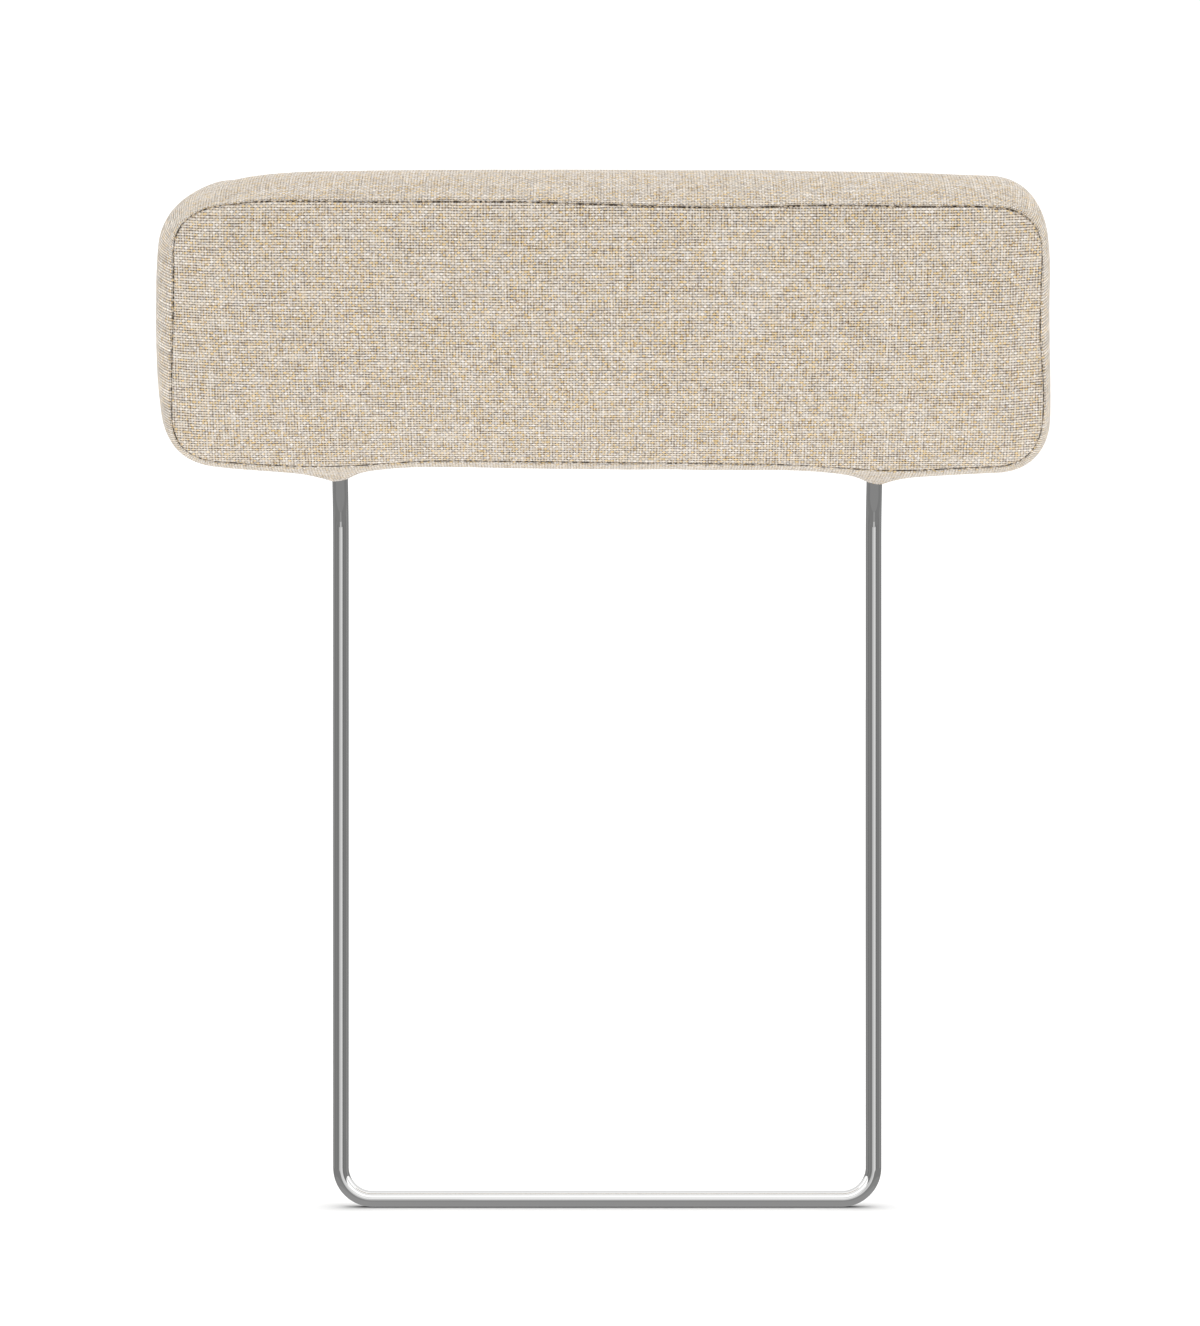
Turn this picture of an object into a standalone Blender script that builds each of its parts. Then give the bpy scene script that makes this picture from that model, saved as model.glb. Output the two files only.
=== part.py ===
"""Upholstered headrest for a sofa, on a bent tube frame.

The frame is one length of round tube: a bottom bar, two legs, and a forward crank at the top of each leg.
The legs run into a boxed cushion, where saddle clips screw them to a plywood board between two foams.
Axes: +X is the headrest's width, -Y its front, +Z up. The origin is under the middle of the bottom bar.
"""

import math

import bmesh
import bpy
from mathutils import Matrix, Vector

# Clearance between pieces that touch, and how far a cutter passes the face that it cuts
GAP = 0.0003
OVERCUT = 0.004

# Frame tube
TUBE_DIAMETER = 0.012
TUBE_WALL = 0.0015
LEG_SPACING = 0.4045
CORNER_BEND_RADIUS = 0.024
CRANK_HEIGHT = 0.504
CRANK_BEND_RADIUS = 0.125
PITCH = math.radians(16.5)
LEG_ABOVE_CRANK = 0.0227
LEG_INSERTED = 0.150

# Plugs in the tube's two ends
PLUG_HEAD_HEIGHT = 0.002
PLUG_STEM_LENGTH = 0.010

# Cushion, measured between the seams, and how far it swells past them
SEAM_WIDTH = 0.643
SEAM_HEIGHT = 0.1957
SEAM_DEPTH = 0.104
SEAM_CORNER_RADIUS = 0.037
BOXING_BULGE = 0.0145
FRONT_CROWN = 0.014
REAR_CROWN = 0.011
CROWN_REACH = 0.078

# Cover cloth, its turned-in seam allowance and the collars that it forms round the legs
COVER_THICKNESS = 0.0012
SEAM_ALLOWANCE = 0.008
COLLAR_DROP = 0.011
COLLAR_REACH_ACROSS = 0.032
COLLAR_REACH_DEEP = 0.020

# Filling
WADDING_THICKNESS = 0.008
BOARD_WIDTH = 0.520
BOARD_HEIGHT = 0.150
BOARD_THICKNESS = 0.012
BOARD_CORNER_RADIUS = 0.020

# Saddle clips, two on each leg, and their pan-head screws
CLIP_STRAP_THICKNESS = 0.0015
CLIP_WIDTH = 0.016
CLIP_EAR_LENGTH = 0.0125
CLIP_FROM_LEG_END = 0.018
CLIP_SPACING = 0.070
SCREW_DIAMETER = 0.004
SCREW_LENGTH = 0.012
SCREW_HEAD_DIAMETER = 0.008
SCREW_HEAD_HEIGHT = 0.0026
SCREW_DRIVE_WIDTH = 0.0011
SCREW_DRIVE_DEPTH = 0.0013

# Facets
TUBE_SIDES = 18
CORNER_BEND_STEPS = 9
CRANK_BEND_STEPS = 6
COVER_CORNER_STEPS = 8
FILLING_CORNER_STEPS = 5
COVER_BOXING_STEPS = 8
FILLING_BOXING_STEPS = 4
COVER_CROWN_STEPS = 6
FILLING_CROWN_STEPS = 3
COLLAR_SIDES = 28
COLLAR_STEPS = 6
SCREW_SIDES = 14
CLIP_ARCH_STEPS = 12

# Sizes that follow from the ones above
TUBE_RADIUS = TUBE_DIAMETER / 2
LEG_X = LEG_SPACING / 2
HALF_DEPTH = SEAM_DEPTH / 2
UNDERSIDE = -(SEAM_HEIGHT / 2 + BOXING_BULGE)
LEG_END = UNDERSIDE + LEG_INSERTED
BOARD_REAR = -(TUBE_RADIUS + GAP)
BOARD_FRONT = BOARD_REAR - BOARD_THICKNESS
CLIP_BASE = BOARD_REAR + GAP
CLIP_ARCH_RADIUS = TUBE_RADIUS + GAP
CLIP_OUTER_RADIUS = CLIP_ARCH_RADIUS + CLIP_STRAP_THICKNESS
CLIP_HALF_SPAN = CLIP_OUTER_RADIUS + CLIP_EAR_LENGTH
CLIP_HEIGHTS = (LEG_END - CLIP_FROM_LEG_END, LEG_END - CLIP_FROM_LEG_END - CLIP_SPACING)
SCREW_X = CLIP_OUTER_RADIUS + CLIP_EAR_LENGTH / 2
SCREW_SEAT = CLIP_BASE + CLIP_STRAP_THICKNESS + GAP
SIDES = {"left": -1, "right": 1}


def clear_scene():
    for item in list(bpy.data.objects):
        bpy.data.objects.remove(item, do_unlink=True)


def make_material(name, colour, metallic, roughness):
    material = bpy.data.materials.new(name)
    material.use_nodes = True
    shader = material.node_tree.nodes["Principled BSDF"]
    shader.inputs["Base Color"].default_value = (*colour, 1.0)
    shader.inputs["Metallic"].default_value = metallic
    shader.inputs["Roughness"].default_value = roughness
    return material


def make_object(name, bm, material=None, parent=None, location=(0, 0, 0)):
    mesh = bpy.data.meshes.new(name)
    bm.to_mesh(mesh)
    bm.free()
    mesh.shade_smooth()
    mesh.set_sharp_from_angle(angle=math.radians(32))
    if material:
        mesh.materials.append(material)
    return place_object(name, mesh, parent, location)


def place_object(name, mesh, parent=None, location=(0, 0, 0)):
    item = bpy.data.objects.new(name, mesh)
    bpy.context.scene.collection.objects.link(item)
    item.parent = parent
    item.location = location
    return item


def make_cutter(name, bm, parent=None):
    cutter = make_object(name, bm, parent=parent)
    cutter.hide_render = True
    cutter.display_type = "WIRE"
    return cutter


def combine(target, cutter, operation="DIFFERENCE"):
    modifier = target.modifiers.new(f"{operation.lower()} {cutter.name}", "BOOLEAN")
    modifier.operation = operation
    modifier.object = cutter


def skin_rings(bm, rings, loop=False):
    """Joins rings of equally many points with quads, and either caps the ends or closes the last to the first."""
    loops = [[bm.verts.new(point) for point in ring] for ring in rings]
    pairs = list(zip(loops, loops[1:]))
    if loop:
        pairs.append((loops[-1], loops[0]))
    faces = []
    for lower, upper in pairs:
        for i in range(len(lower)):
            j = (i + 1) % len(lower)
            faces.append(bm.faces.new((lower[i], lower[j], upper[j], upper[i])))
    if not loop:
        faces.append(bm.faces.new(loops[0]))
        faces.append(bm.faces.new(loops[-1]))
    bmesh.ops.recalc_face_normals(bm, faces=faces)


def skinned(rings, loop=False):
    bm = bmesh.new()
    skin_rings(bm, rings, loop)
    return bm


def circle(centre, radius, across, along, sides):
    """Ring of points round a centre, in the plane of two unit vectors."""
    turns = [2 * math.pi * i / sides for i in range(sides)]
    return [centre + radius * (math.cos(a) * across + math.sin(a) * along) for a in turns]


def add_cylinder(bm, start, end, radius, sides):
    axis = (end - start).normalized()
    across = axis.orthogonal().normalized()
    along = axis.cross(across)
    ends = [circle(point, radius, across, along, sides) for point in (start, end)]
    skin_rings(bm, ends)


def add_box(bm, low, high):
    size = high - low
    matrix = Matrix.Translation((low + high) / 2) @ Matrix.Diagonal((*size, 1))
    bmesh.ops.create_cube(bm, size=1, matrix=matrix)


def turned(profile, sides):
    """Solid turned round +Z from (radius, height) points, whose first and last lie on the axis."""
    bm = bmesh.new()
    across = Vector((1, 0, 0))
    along = Vector((0, 1, 0))
    rings = [circle(Vector((0, 0, height)), radius, across, along, sides) for radius, height in profile[1:-1]]
    loops = [[bm.verts.new(point) for point in ring] for ring in rings]
    ends = [bm.verts.new((0, 0, height)) for _, height in (profile[0], profile[-1])]
    for lower, upper in zip(loops, loops[1:]):
        for i in range(sides):
            j = (i + 1) % sides
            bm.faces.new((lower[i], lower[j], upper[j], upper[i]))
    for i in range(sides):
        j = (i + 1) % sides
        bm.faces.new((loops[0][j], loops[0][i], ends[0]))
        bm.faces.new((loops[-1][i], loops[-1][j], ends[1]))
    bmesh.ops.recalc_face_normals(bm, faces=bm.faces)
    return bm


def arc(centre, radius, across, along, start, end, steps):
    angles = [start + (end - start) * i / steps for i in range(steps + 1)]
    return [centre + radius * (math.cos(a) * across + math.sin(a) * along) for a in angles]


def leg_direction():
    """Direction of the leg above its crank, which is also the cushion's upright axis."""
    return Vector((0, -math.sin(PITCH), math.cos(PITCH)))


def crank_end(x):
    forward = CRANK_BEND_RADIUS * (1 - math.cos(PITCH))
    rise = CRANK_BEND_RADIUS * math.sin(PITCH)
    return Vector((x, -forward, CRANK_HEIGHT + rise))


def leg_path(side):
    """Centreline of one leg, from its end inside the cushion down to the bottom bar."""
    x = side * LEG_X
    end = crank_end(x) + leg_direction() * (LEG_ABOVE_CRANK + LEG_INSERTED)
    crank_centre = Vector((x, -CRANK_BEND_RADIUS, CRANK_HEIGHT))
    crank = arc(
        crank_centre, CRANK_BEND_RADIUS, Vector((0, 1, 0)), Vector((0, 0, 1)), PITCH, 0, CRANK_BEND_STEPS
    )
    corner_centre = Vector((x - side * CORNER_BEND_RADIUS, 0, TUBE_RADIUS + CORNER_BEND_RADIUS))
    corner = arc(
        corner_centre,
        CORNER_BEND_RADIUS,
        Vector((side, 0, 0)),
        Vector((0, 0, -1)),
        0,
        math.pi / 2,
        CORNER_BEND_STEPS,
    )
    return [end, *crank, *corner]


def sweep(path, radius, sides):
    """Rings of a round section carried along a path without twisting."""
    steps = [(b - a).normalized() for a, b in zip(path, path[1:])]
    tangents = [steps[0], *[(a + b).normalized() for a, b in zip(steps, steps[1:])], steps[-1]]
    across = Vector((1, 0, 0))
    rings = []
    for point, tangent in zip(path, tangents):
        across = (across - across.dot(tangent) * tangent).normalized()
        rings.append(circle(point, radius, across, tangent.cross(across), sides))
    return rings


def build_frame(steel):
    path = [*leg_path(-1), *reversed(leg_path(1))]
    outside = sweep(path, TUBE_RADIUS, TUBE_SIDES)
    inside = sweep(path, TUBE_RADIUS - TUBE_WALL, TUBE_SIDES)
    make_object("u_frame", skinned([*outside, *reversed(inside)], loop=True), steel)


def build_tube_plugs(plastic, cushion):
    stem = TUBE_RADIUS - TUBE_WALL - GAP
    bottom = -PLUG_STEM_LENGTH
    top = GAP + PLUG_HEAD_HEIGHT
    lead_in = stem / 4
    profile = [
        (0, bottom),
        (stem - lead_in, bottom),
        (stem, bottom + lead_in),
        (stem, GAP),
        (TUBE_RADIUS, GAP),
        (TUBE_RADIUS, top - PLUG_HEAD_HEIGHT / 2),
        (TUBE_RADIUS - PLUG_HEAD_HEIGHT / 2, top),
        (0, top),
    ]
    for name, side in SIDES.items():
        place = (side * LEG_X, 0, LEG_END)
        make_object(f"tube_plug_{name}", turned(profile, TUBE_SIDES), plastic, cushion, place)


def rounded_rectangle(width, height, radius, depth, steps):
    """Outline seen from the front, at one depth, with a point in the middle of each side."""
    points = []
    for quarter, (right, up) in enumerate(((1, 1), (-1, 1), (-1, -1), (1, -1))):
        centre = Vector((right * (width / 2 - radius), depth, up * (height / 2 - radius)))
        start = quarter * math.pi / 2
        points += arc(
            centre, radius, Vector((1, 0, 0)), Vector((0, 0, 1)), start, start + math.pi / 2, steps
        )
        turned_x = quarter in (0, 2)
        middle = Vector((0, depth, up * height / 2)) if turned_x else Vector((right * width / 2, depth, 0))
        points.append(middle)
    return points


def cushion_outline(offset, depth, steps):
    """The seam's outline grown by offset, or shrunk when that is negative, at one depth of the cushion."""
    tapering = SEAM_CORNER_RADIUS * (SEAM_HEIGHT + 2 * offset) / (2 * SEAM_HEIGHT - 2 * SEAM_CORNER_RADIUS)
    radius = max(SEAM_CORNER_RADIUS + offset, tapering)
    return rounded_rectangle(SEAM_WIDTH + 2 * offset, SEAM_HEIGHT + 2 * offset, radius, depth, steps)


def boxing_swell(depth):
    return BOXING_BULGE * (1 - (depth / HALF_DEPTH) ** 2)


def crown(inset, height):
    """How far a panel stands out of its seam's plane, at a distance in from the seam."""
    return height * (1 - (1 - inset / CROWN_REACH) ** 2)


def crown_rings(side, height, face_inset, side_inset, crown_steps, corner_steps):
    """Rings of a crowned panel, from its flat middle out to the seam; side is -1 for the front, 1 for the rear."""
    rings = []
    for i in range(crown_steps, -1, -1):
        inset = CROWN_REACH * (i / crown_steps) ** 1.5
        depth = side * (HALF_DEPTH + crown(inset, height) - face_inset)
        rings.append(cushion_outline(-inset - side_inset, depth, corner_steps))
    return rings


def boxing_rings(start, end, inset, boxing_steps, corner_steps):
    """Rings of the swelling band between two depths."""
    depths = [start + (end - start) * i / boxing_steps for i in range(boxing_steps + 1)]
    return [cushion_outline(boxing_swell(depth) - inset, depth, corner_steps) for depth in depths]


def filling_rings(face_inset, side_inset):
    """Rings of a whole filling layer, from the middle of its front face to the middle of its rear face."""
    steps = (FILLING_CROWN_STEPS, FILLING_CORNER_STEPS)
    front = crown_rings(-1, FRONT_CROWN, face_inset, side_inset, *steps)
    rear = crown_rings(1, REAR_CROWN, face_inset, side_inset, *steps)
    seam = HALF_DEPTH - face_inset
    band = boxing_rings(-seam, seam, side_inset, FILLING_BOXING_STEPS, FILLING_CORNER_STEPS)
    return [*front[:-1], *band, *reversed(rear[:-1])]


def build_panel(name, side, height, cloth, cushion):
    """A crowned panel whose edge turns in behind the boxing as a seam allowance."""
    fold = COVER_THICKNESS + GAP
    ends = sorted((side * HALF_DEPTH, side * (HALF_DEPTH - SEAM_ALLOWANCE)), key=abs, reverse=True)
    outside = crown_rings(side, height, 0, 0, COVER_CROWN_STEPS, COVER_CORNER_STEPS)
    turned_out = boxing_rings(*ends, fold, 2, COVER_CORNER_STEPS)
    start = side * (HALF_DEPTH - COVER_THICKNESS)
    turned_in = boxing_rings(start, ends[1], fold + COVER_THICKNESS, 2, COVER_CORNER_STEPS)
    inside = crown_rings(side, height, COVER_THICKNESS, 0, COVER_CROWN_STEPS, COVER_CORNER_STEPS)
    rings = [*outside, *turned_out, *reversed(turned_in), *reversed(inside[:-2])]
    make_object(name, skinned(rings), cloth, cushion)


def collar_rings(leg_x, inset):
    """Rings of a collar, from its lip round the leg up to where it spreads into the cushion's underside."""
    lip = TUBE_RADIUS + GAP + COVER_THICKNESS - inset
    sink = COVER_THICKNESS / 2
    rings = []
    for i in range(COLLAR_STEPS + 1):
        turn = math.pi / 2 * i / COLLAR_STEPS
        across = lip + (COLLAR_REACH_ACROSS - inset - lip) * (1 - math.cos(turn))
        deep = lip + (COLLAR_REACH_DEEP - inset - lip) * (1 - math.cos(turn))
        drop = (COLLAR_DROP + sink) * (1 - math.sin(turn)) - sink - inset
        rings.append(collar_ring(leg_x, across, deep, drop))
    return rings


def collar_ring(leg_x, across, deep, drop):
    ring = []
    for i in range(COLLAR_SIDES):
        turn = 2 * math.pi * i / COLLAR_SIDES
        y = deep * math.sin(turn)
        underside = -(SEAM_HEIGHT / 2 + boxing_swell(y))
        ring.append(Vector((leg_x + across * math.cos(turn), y, underside - drop)))
    return ring


def build_boxing(cloth, cushion):
    """The band between the two panels, with its collars."""
    edge = HALF_DEPTH - GAP
    sides = (COVER_BOXING_STEPS, COVER_CORNER_STEPS)
    outside = boxing_rings(-edge, edge, 0, *sides)
    inside = boxing_rings(-edge, edge, COVER_THICKNESS, *sides)
    boxing = make_object("cover_boxing", skinned([*outside, *reversed(inside)], loop=True), cloth, cushion)
    collars = bmesh.new()
    hollows = bmesh.new()
    for side in SIDES.values():
        skin_rings(collars, collar_rings(side * LEG_X, 0))
        hollow = collar_rings(side * LEG_X, COVER_THICKNESS)
        mouth = [point - Vector((0, 0, OVERCUT)) for point in hollow[0]]
        roof = [point + Vector((0, 0, OVERCUT)) for point in hollow[-1]]
        skin_rings(hollows, [mouth, *hollow, roof])
    combine(boxing, make_cutter("collar_outsides", collars, cushion), "UNION")
    combine(boxing, make_cutter("collar_hollows", hollows, cushion))


def build_wadding(wadding_material, cushion):
    """A quilted wrap round the foams, open where the legs pass."""
    face = COVER_THICKNESS + GAP
    side = 2 * face
    outside = filling_rings(face, side)
    inside = filling_rings(face + WADDING_THICKNESS, side + WADDING_THICKNESS)
    wadding = make_object("wadding_wrap", skinned(outside), wadding_material, cushion)
    combine(wadding, make_cutter("wadding_hollow", skinned(inside), cushion))
    holes = bmesh.new()
    for sign in SIDES.values():
        low = Vector((sign * LEG_X, 0, UNDERSIDE - OVERCUT))
        high = Vector((sign * LEG_X, 0, UNDERSIDE + side + WADDING_THICKNESS + OVERCUT))
        add_cylinder(holes, low, high, TUBE_RADIUS + GAP, TUBE_SIDES)
    combine(wadding, make_cutter("wadding_leg_holes", holes, cushion))


def board_outline(clearance, depth):
    return rounded_rectangle(
        BOARD_WIDTH + 2 * clearance,
        BOARD_HEIGHT + 2 * clearance,
        BOARD_CORNER_RADIUS + clearance,
        depth,
        FILLING_CORNER_STEPS,
    )


def screw_places():
    """Name, x and height of each screw."""
    places = {}
    for name, side in SIDES.items():
        for level, height in zip(("upper", "lower"), CLIP_HEIGHTS):
            for place, offset in (("outer", side * SCREW_X), ("inner", -side * SCREW_X)):
                places[f"{name}_{level}_{place}"] = (side * LEG_X + offset, height)
    return places


def build_board(plywood, cushion):
    rings = [board_outline(0, BOARD_FRONT), board_outline(0, BOARD_REAR)]
    board = make_object("core_board", skinned(rings), plywood, cushion)
    holes = bmesh.new()
    for x, height in screw_places().values():
        start = Vector((x, BOARD_REAR + OVERCUT, height))
        end = Vector((x, SCREW_SEAT - SCREW_LENGTH - GAP, height))
        add_cylinder(holes, start, end, SCREW_DIAMETER / 2 + GAP, SCREW_SIDES)
    combine(board, make_cutter("screw_pilot_holes", holes, cushion))


def build_foams(foam, cushion):
    """Two foams that meet at the board's rear face: the front one holds the board, the rear one the legs."""
    face = COVER_THICKNESS + WADDING_THICKNESS + 2 * GAP
    side = face + COVER_THICKNESS + GAP
    front = make_object("foam_front", skinned(filling_rings(face, side)), foam, cushion)
    combine(front, make_cutter("behind_the_split", foam_half(BOARD_REAR, SEAM_DEPTH), cushion))
    pocket = [board_outline(GAP, BOARD_FRONT - GAP), board_outline(GAP, BOARD_REAR + OVERCUT)]
    combine(front, make_cutter("board_pocket", skinned(pocket), cushion))
    rear = make_object("foam_rear", skinned(filling_rings(face, side)), foam, cushion)
    combine(rear, make_cutter("before_the_split", foam_half(-SEAM_DEPTH, CLIP_BASE), cushion))
    combine(rear, make_cutter("leg_channels", leg_channels(), cushion))
    combine(rear, make_cutter("clip_pockets", clip_pockets(), cushion))


def foam_half(low, high):
    """Block that is wider and taller than the foams, between two depths."""
    bm = bmesh.new()
    add_box(bm, Vector((-SEAM_WIDTH, low, -SEAM_HEIGHT)), Vector((SEAM_WIDTH, high, SEAM_HEIGHT)))
    return bm


def leg_channels():
    """Round-bottomed channels for the legs and their plugs, open towards the board."""
    bm = bmesh.new()
    radius = TUBE_RADIUS + GAP
    for side in SIDES.values():
        rounded = arc(
            Vector((side * LEG_X, 0, 0)),
            radius,
            Vector((1, 0, 0)),
            Vector((0, 1, 0)),
            0,
            math.pi,
            CLIP_ARCH_STEPS,
        )
        mouth_y = BOARD_REAR - OVERCUT
        mouth = [Vector((side * LEG_X - radius, mouth_y, 0)), Vector((side * LEG_X + radius, mouth_y, 0))]
        ends = (UNDERSIDE - OVERCUT, LEG_END + PLUG_HEAD_HEIGHT + 2 * GAP)
        skin_rings(bm, [[point + Vector((0, 0, z)) for point in [*rounded, *mouth]] for z in ends])
    return bm


def clip_pockets():
    """Pockets that clear each clip and its two screw heads."""
    bm = bmesh.new()
    rise = max(CLIP_OUTER_RADIUS, SCREW_SEAT + SCREW_HEAD_HEIGHT) + GAP
    reach = max(CLIP_HALF_SPAN, SCREW_X + SCREW_HEAD_DIAMETER / 2) + GAP
    half_width = max(CLIP_WIDTH, SCREW_HEAD_DIAMETER) / 2 + GAP
    for side in SIDES.values():
        for height in CLIP_HEIGHTS:
            low = Vector((side * LEG_X - reach, CLIP_BASE - OVERCUT, height - half_width))
            high = Vector((side * LEG_X + reach, rise, height + half_width))
            add_box(bm, low, high)
    return bm


def clip_profile():
    """Section of a saddle clip across the leg: two flat ears and an arch over the tube."""
    centre = Vector((0, 0, 0))
    axes = (Vector((1, 0, 0)), Vector((0, 1, 0)))
    outer = arc(centre, CLIP_OUTER_RADIUS, *axes, 0, math.pi, CLIP_ARCH_STEPS)
    inner = arc(centre, CLIP_ARCH_RADIUS, *axes, math.pi, 0, CLIP_ARCH_STEPS)
    ear_top = CLIP_BASE + CLIP_STRAP_THICKNESS
    right = [(CLIP_HALF_SPAN, CLIP_BASE), (CLIP_HALF_SPAN, ear_top), (CLIP_OUTER_RADIUS, ear_top)]
    left = [(-x, y) for x, y in reversed(right)]
    foot = [(-CLIP_ARCH_RADIUS, CLIP_BASE)]
    other_foot = [(CLIP_ARCH_RADIUS, CLIP_BASE)]
    return [*flat(right), *outer, *flat(left), *flat(foot), *inner, *flat(other_foot)]


def flat(points):
    return [Vector((x, y, 0)) for x, y in points]


def build_clips(zinc, cushion):
    half = CLIP_WIDTH / 2
    profile = clip_profile()
    for name, side in SIDES.items():
        for level, height in zip(("upper", "lower"), CLIP_HEIGHTS):
            rings = [[point + Vector((side * LEG_X, 0, height + z)) for point in profile] for z in (-half, half)]
            clip = make_object(f"saddle_clip_{name}_{level}", skinned(rings), zinc, cushion)
            holes = bmesh.new()
            for offset in (-SCREW_X, SCREW_X):
                start = Vector((side * LEG_X + offset, CLIP_BASE - OVERCUT, height))
                end = Vector((side * LEG_X + offset, SCREW_SEAT + OVERCUT, height))
                add_cylinder(holes, start, end, SCREW_DIAMETER / 2 + GAP, SCREW_SIDES)
            combine(clip, make_cutter(f"clip_holes_{name}_{level}", holes, cushion))


def screw_profile():
    """Pan-head screw standing on its tip's axis, with its head's seat at height 0."""
    shank = SCREW_DIAMETER / 2
    head = SCREW_HEAD_DIAMETER / 2
    point = shank * 1.5
    return [
        (0, -SCREW_LENGTH),
        (shank / 4, -SCREW_LENGTH + point / 8),
        (shank, -SCREW_LENGTH + point),
        (shank, 0),
        (head, 0),
        (head, SCREW_HEAD_HEIGHT / 2),
        (head * 0.8, SCREW_HEAD_HEIGHT * 0.9),
        (head * 0.5, SCREW_HEAD_HEIGHT),
        (0, SCREW_HEAD_HEIGHT),
    ]


def screw_drive():
    """Cross recess of the screw's head."""
    bm = bmesh.new()
    half = SCREW_DRIVE_WIDTH / 2
    reach = SCREW_HEAD_DIAMETER * 0.27
    floor = SCREW_HEAD_HEIGHT - SCREW_DRIVE_DEPTH
    roof = SCREW_HEAD_HEIGHT + OVERCUT
    corners = [(half, half), (half, reach), (-half, reach), (-half, half), (-reach, half), (-reach, -half)]
    cross = [*corners, *[(-x, -y) for x, y in corners]]
    skin_rings(bm, [[Vector((x, y, z)) for x, y in cross] for z in (floor, roof)])
    return bm


def build_screws(zinc, cushion):
    """Eight alike screws, their heads towards the rear, that share one mesh."""
    pattern = make_object("screw_pattern", turned(screw_profile(), SCREW_SIDES), zinc)
    drive = make_cutter("screw_drive", screw_drive())
    combine(pattern, drive)
    bpy.context.view_layer.update()
    mesh = bpy.data.meshes.new_from_object(pattern.evaluated_get(bpy.context.evaluated_depsgraph_get()))
    for helper in (pattern, drive):
        bpy.data.objects.remove(helper, do_unlink=True)
    for name, (x, height) in screw_places().items():
        screw = place_object(f"clip_screw_{name}", mesh, cushion, (x, SCREW_SEAT, height))
        screw.rotation_euler = (-math.pi / 2, 0, 0)


def place_cushion_axis():
    """Empty at the cushion's middle, on the line of the legs and pitched with them."""
    cushion = bpy.data.objects.new("cushion_axis", None)
    bpy.context.scene.collection.objects.link(cushion)
    cushion.location = crank_end(0) + leg_direction() * (LEG_ABOVE_CRANK - UNDERSIDE)
    cushion.rotation_euler = (PITCH, 0, 0)
    return cushion


def main():
    clear_scene()
    steel = make_material("bright_steel", (0.62, 0.62, 0.61), 1.0, 0.12)
    zinc = make_material("zinc_plate", (0.55, 0.56, 0.58), 1.0, 0.35)
    plastic = make_material("black_plastic", (0.03, 0.03, 0.03), 0.0, 0.5)
    cloth = make_material("melange_cloth", (0.62, 0.53, 0.43), 0.0, 0.9)
    wadding = make_material("white_wadding", (0.86, 0.86, 0.84), 0.0, 1.0)
    foam = make_material("cream_foam", (0.82, 0.76, 0.56), 0.0, 0.95)
    plywood = make_material("plywood", (0.62, 0.44, 0.27), 0.0, 0.7)
    cushion = place_cushion_axis()
    build_frame(steel)
    build_tube_plugs(plastic, cushion)
    build_panel("cover_front", -1, FRONT_CROWN, cloth, cushion)
    build_panel("cover_rear", 1, REAR_CROWN, cloth, cushion)
    build_boxing(cloth, cushion)
    build_wadding(wadding, cushion)
    build_foams(foam, cushion)
    build_board(plywood, cushion)
    build_clips(zinc, cushion)
    build_screws(zinc, cushion)
    bpy.context.view_layer.update()


main()
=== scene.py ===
"""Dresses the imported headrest: upholstered cover, collars, seam stitches, bright tube frame and photo stage.

The cover is drawn as three outlines in the cushion's own plane: front seam, widest line and rear seam.
Crowned panels and a swelling boxing band join them, and a cloth simulation plumps the whole.
Axes: +X is the headrest's width, -Y its front, +Z up. Lengths are metres unless a comment says millimetres.
"""

import math

import bmesh
import bpy
import numpy as np
from mathutils import Matrix, Vector, noise
from mathutils.bvhtree import BVHTree


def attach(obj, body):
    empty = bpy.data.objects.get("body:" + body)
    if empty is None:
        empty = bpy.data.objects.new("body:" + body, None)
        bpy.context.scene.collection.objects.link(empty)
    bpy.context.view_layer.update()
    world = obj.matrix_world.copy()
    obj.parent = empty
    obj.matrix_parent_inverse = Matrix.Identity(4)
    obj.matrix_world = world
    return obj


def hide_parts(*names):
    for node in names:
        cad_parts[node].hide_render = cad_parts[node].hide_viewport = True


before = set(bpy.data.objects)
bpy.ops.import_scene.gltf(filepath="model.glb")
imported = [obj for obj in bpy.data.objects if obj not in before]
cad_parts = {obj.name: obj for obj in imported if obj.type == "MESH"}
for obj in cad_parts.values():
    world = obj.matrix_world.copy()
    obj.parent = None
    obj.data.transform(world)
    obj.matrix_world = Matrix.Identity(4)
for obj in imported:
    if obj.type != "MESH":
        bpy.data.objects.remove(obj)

bl_info = {
    "name": "Upholstered headrest",
    "version": (1, 0, 0),
    "blender": (4, 5, 0),
    "location": "3D View > Sidebar > Headrest",
    "description": "Builds the look of an upholstered headrest round its CAD frame",
    "category": "Object",
}

MM = 0.001

# Frame tube, as in the CAD part
TUBE_RADIUS = 0.006
TUBE_WALL = 0.0015
LEG_X = 0.20225
CORNER_BEND_RADIUS = 0.024
CRANK_HEIGHT = 0.504
CRANK_BEND_RADIUS = 0.125
PITCH = math.radians(16.5)
LEG_ABOVE_CRANK = 0.0227
LEG_INSERTED = 0.150

# Cushion between its seams, as in the CAD part
HALF_WIDTH = 0.3215
HALF_HEIGHT = 0.09785
HALF_DEPTH = 0.052
CORNER_RADIUS = 0.037
BOXING_BULGE = 0.0145

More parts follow.
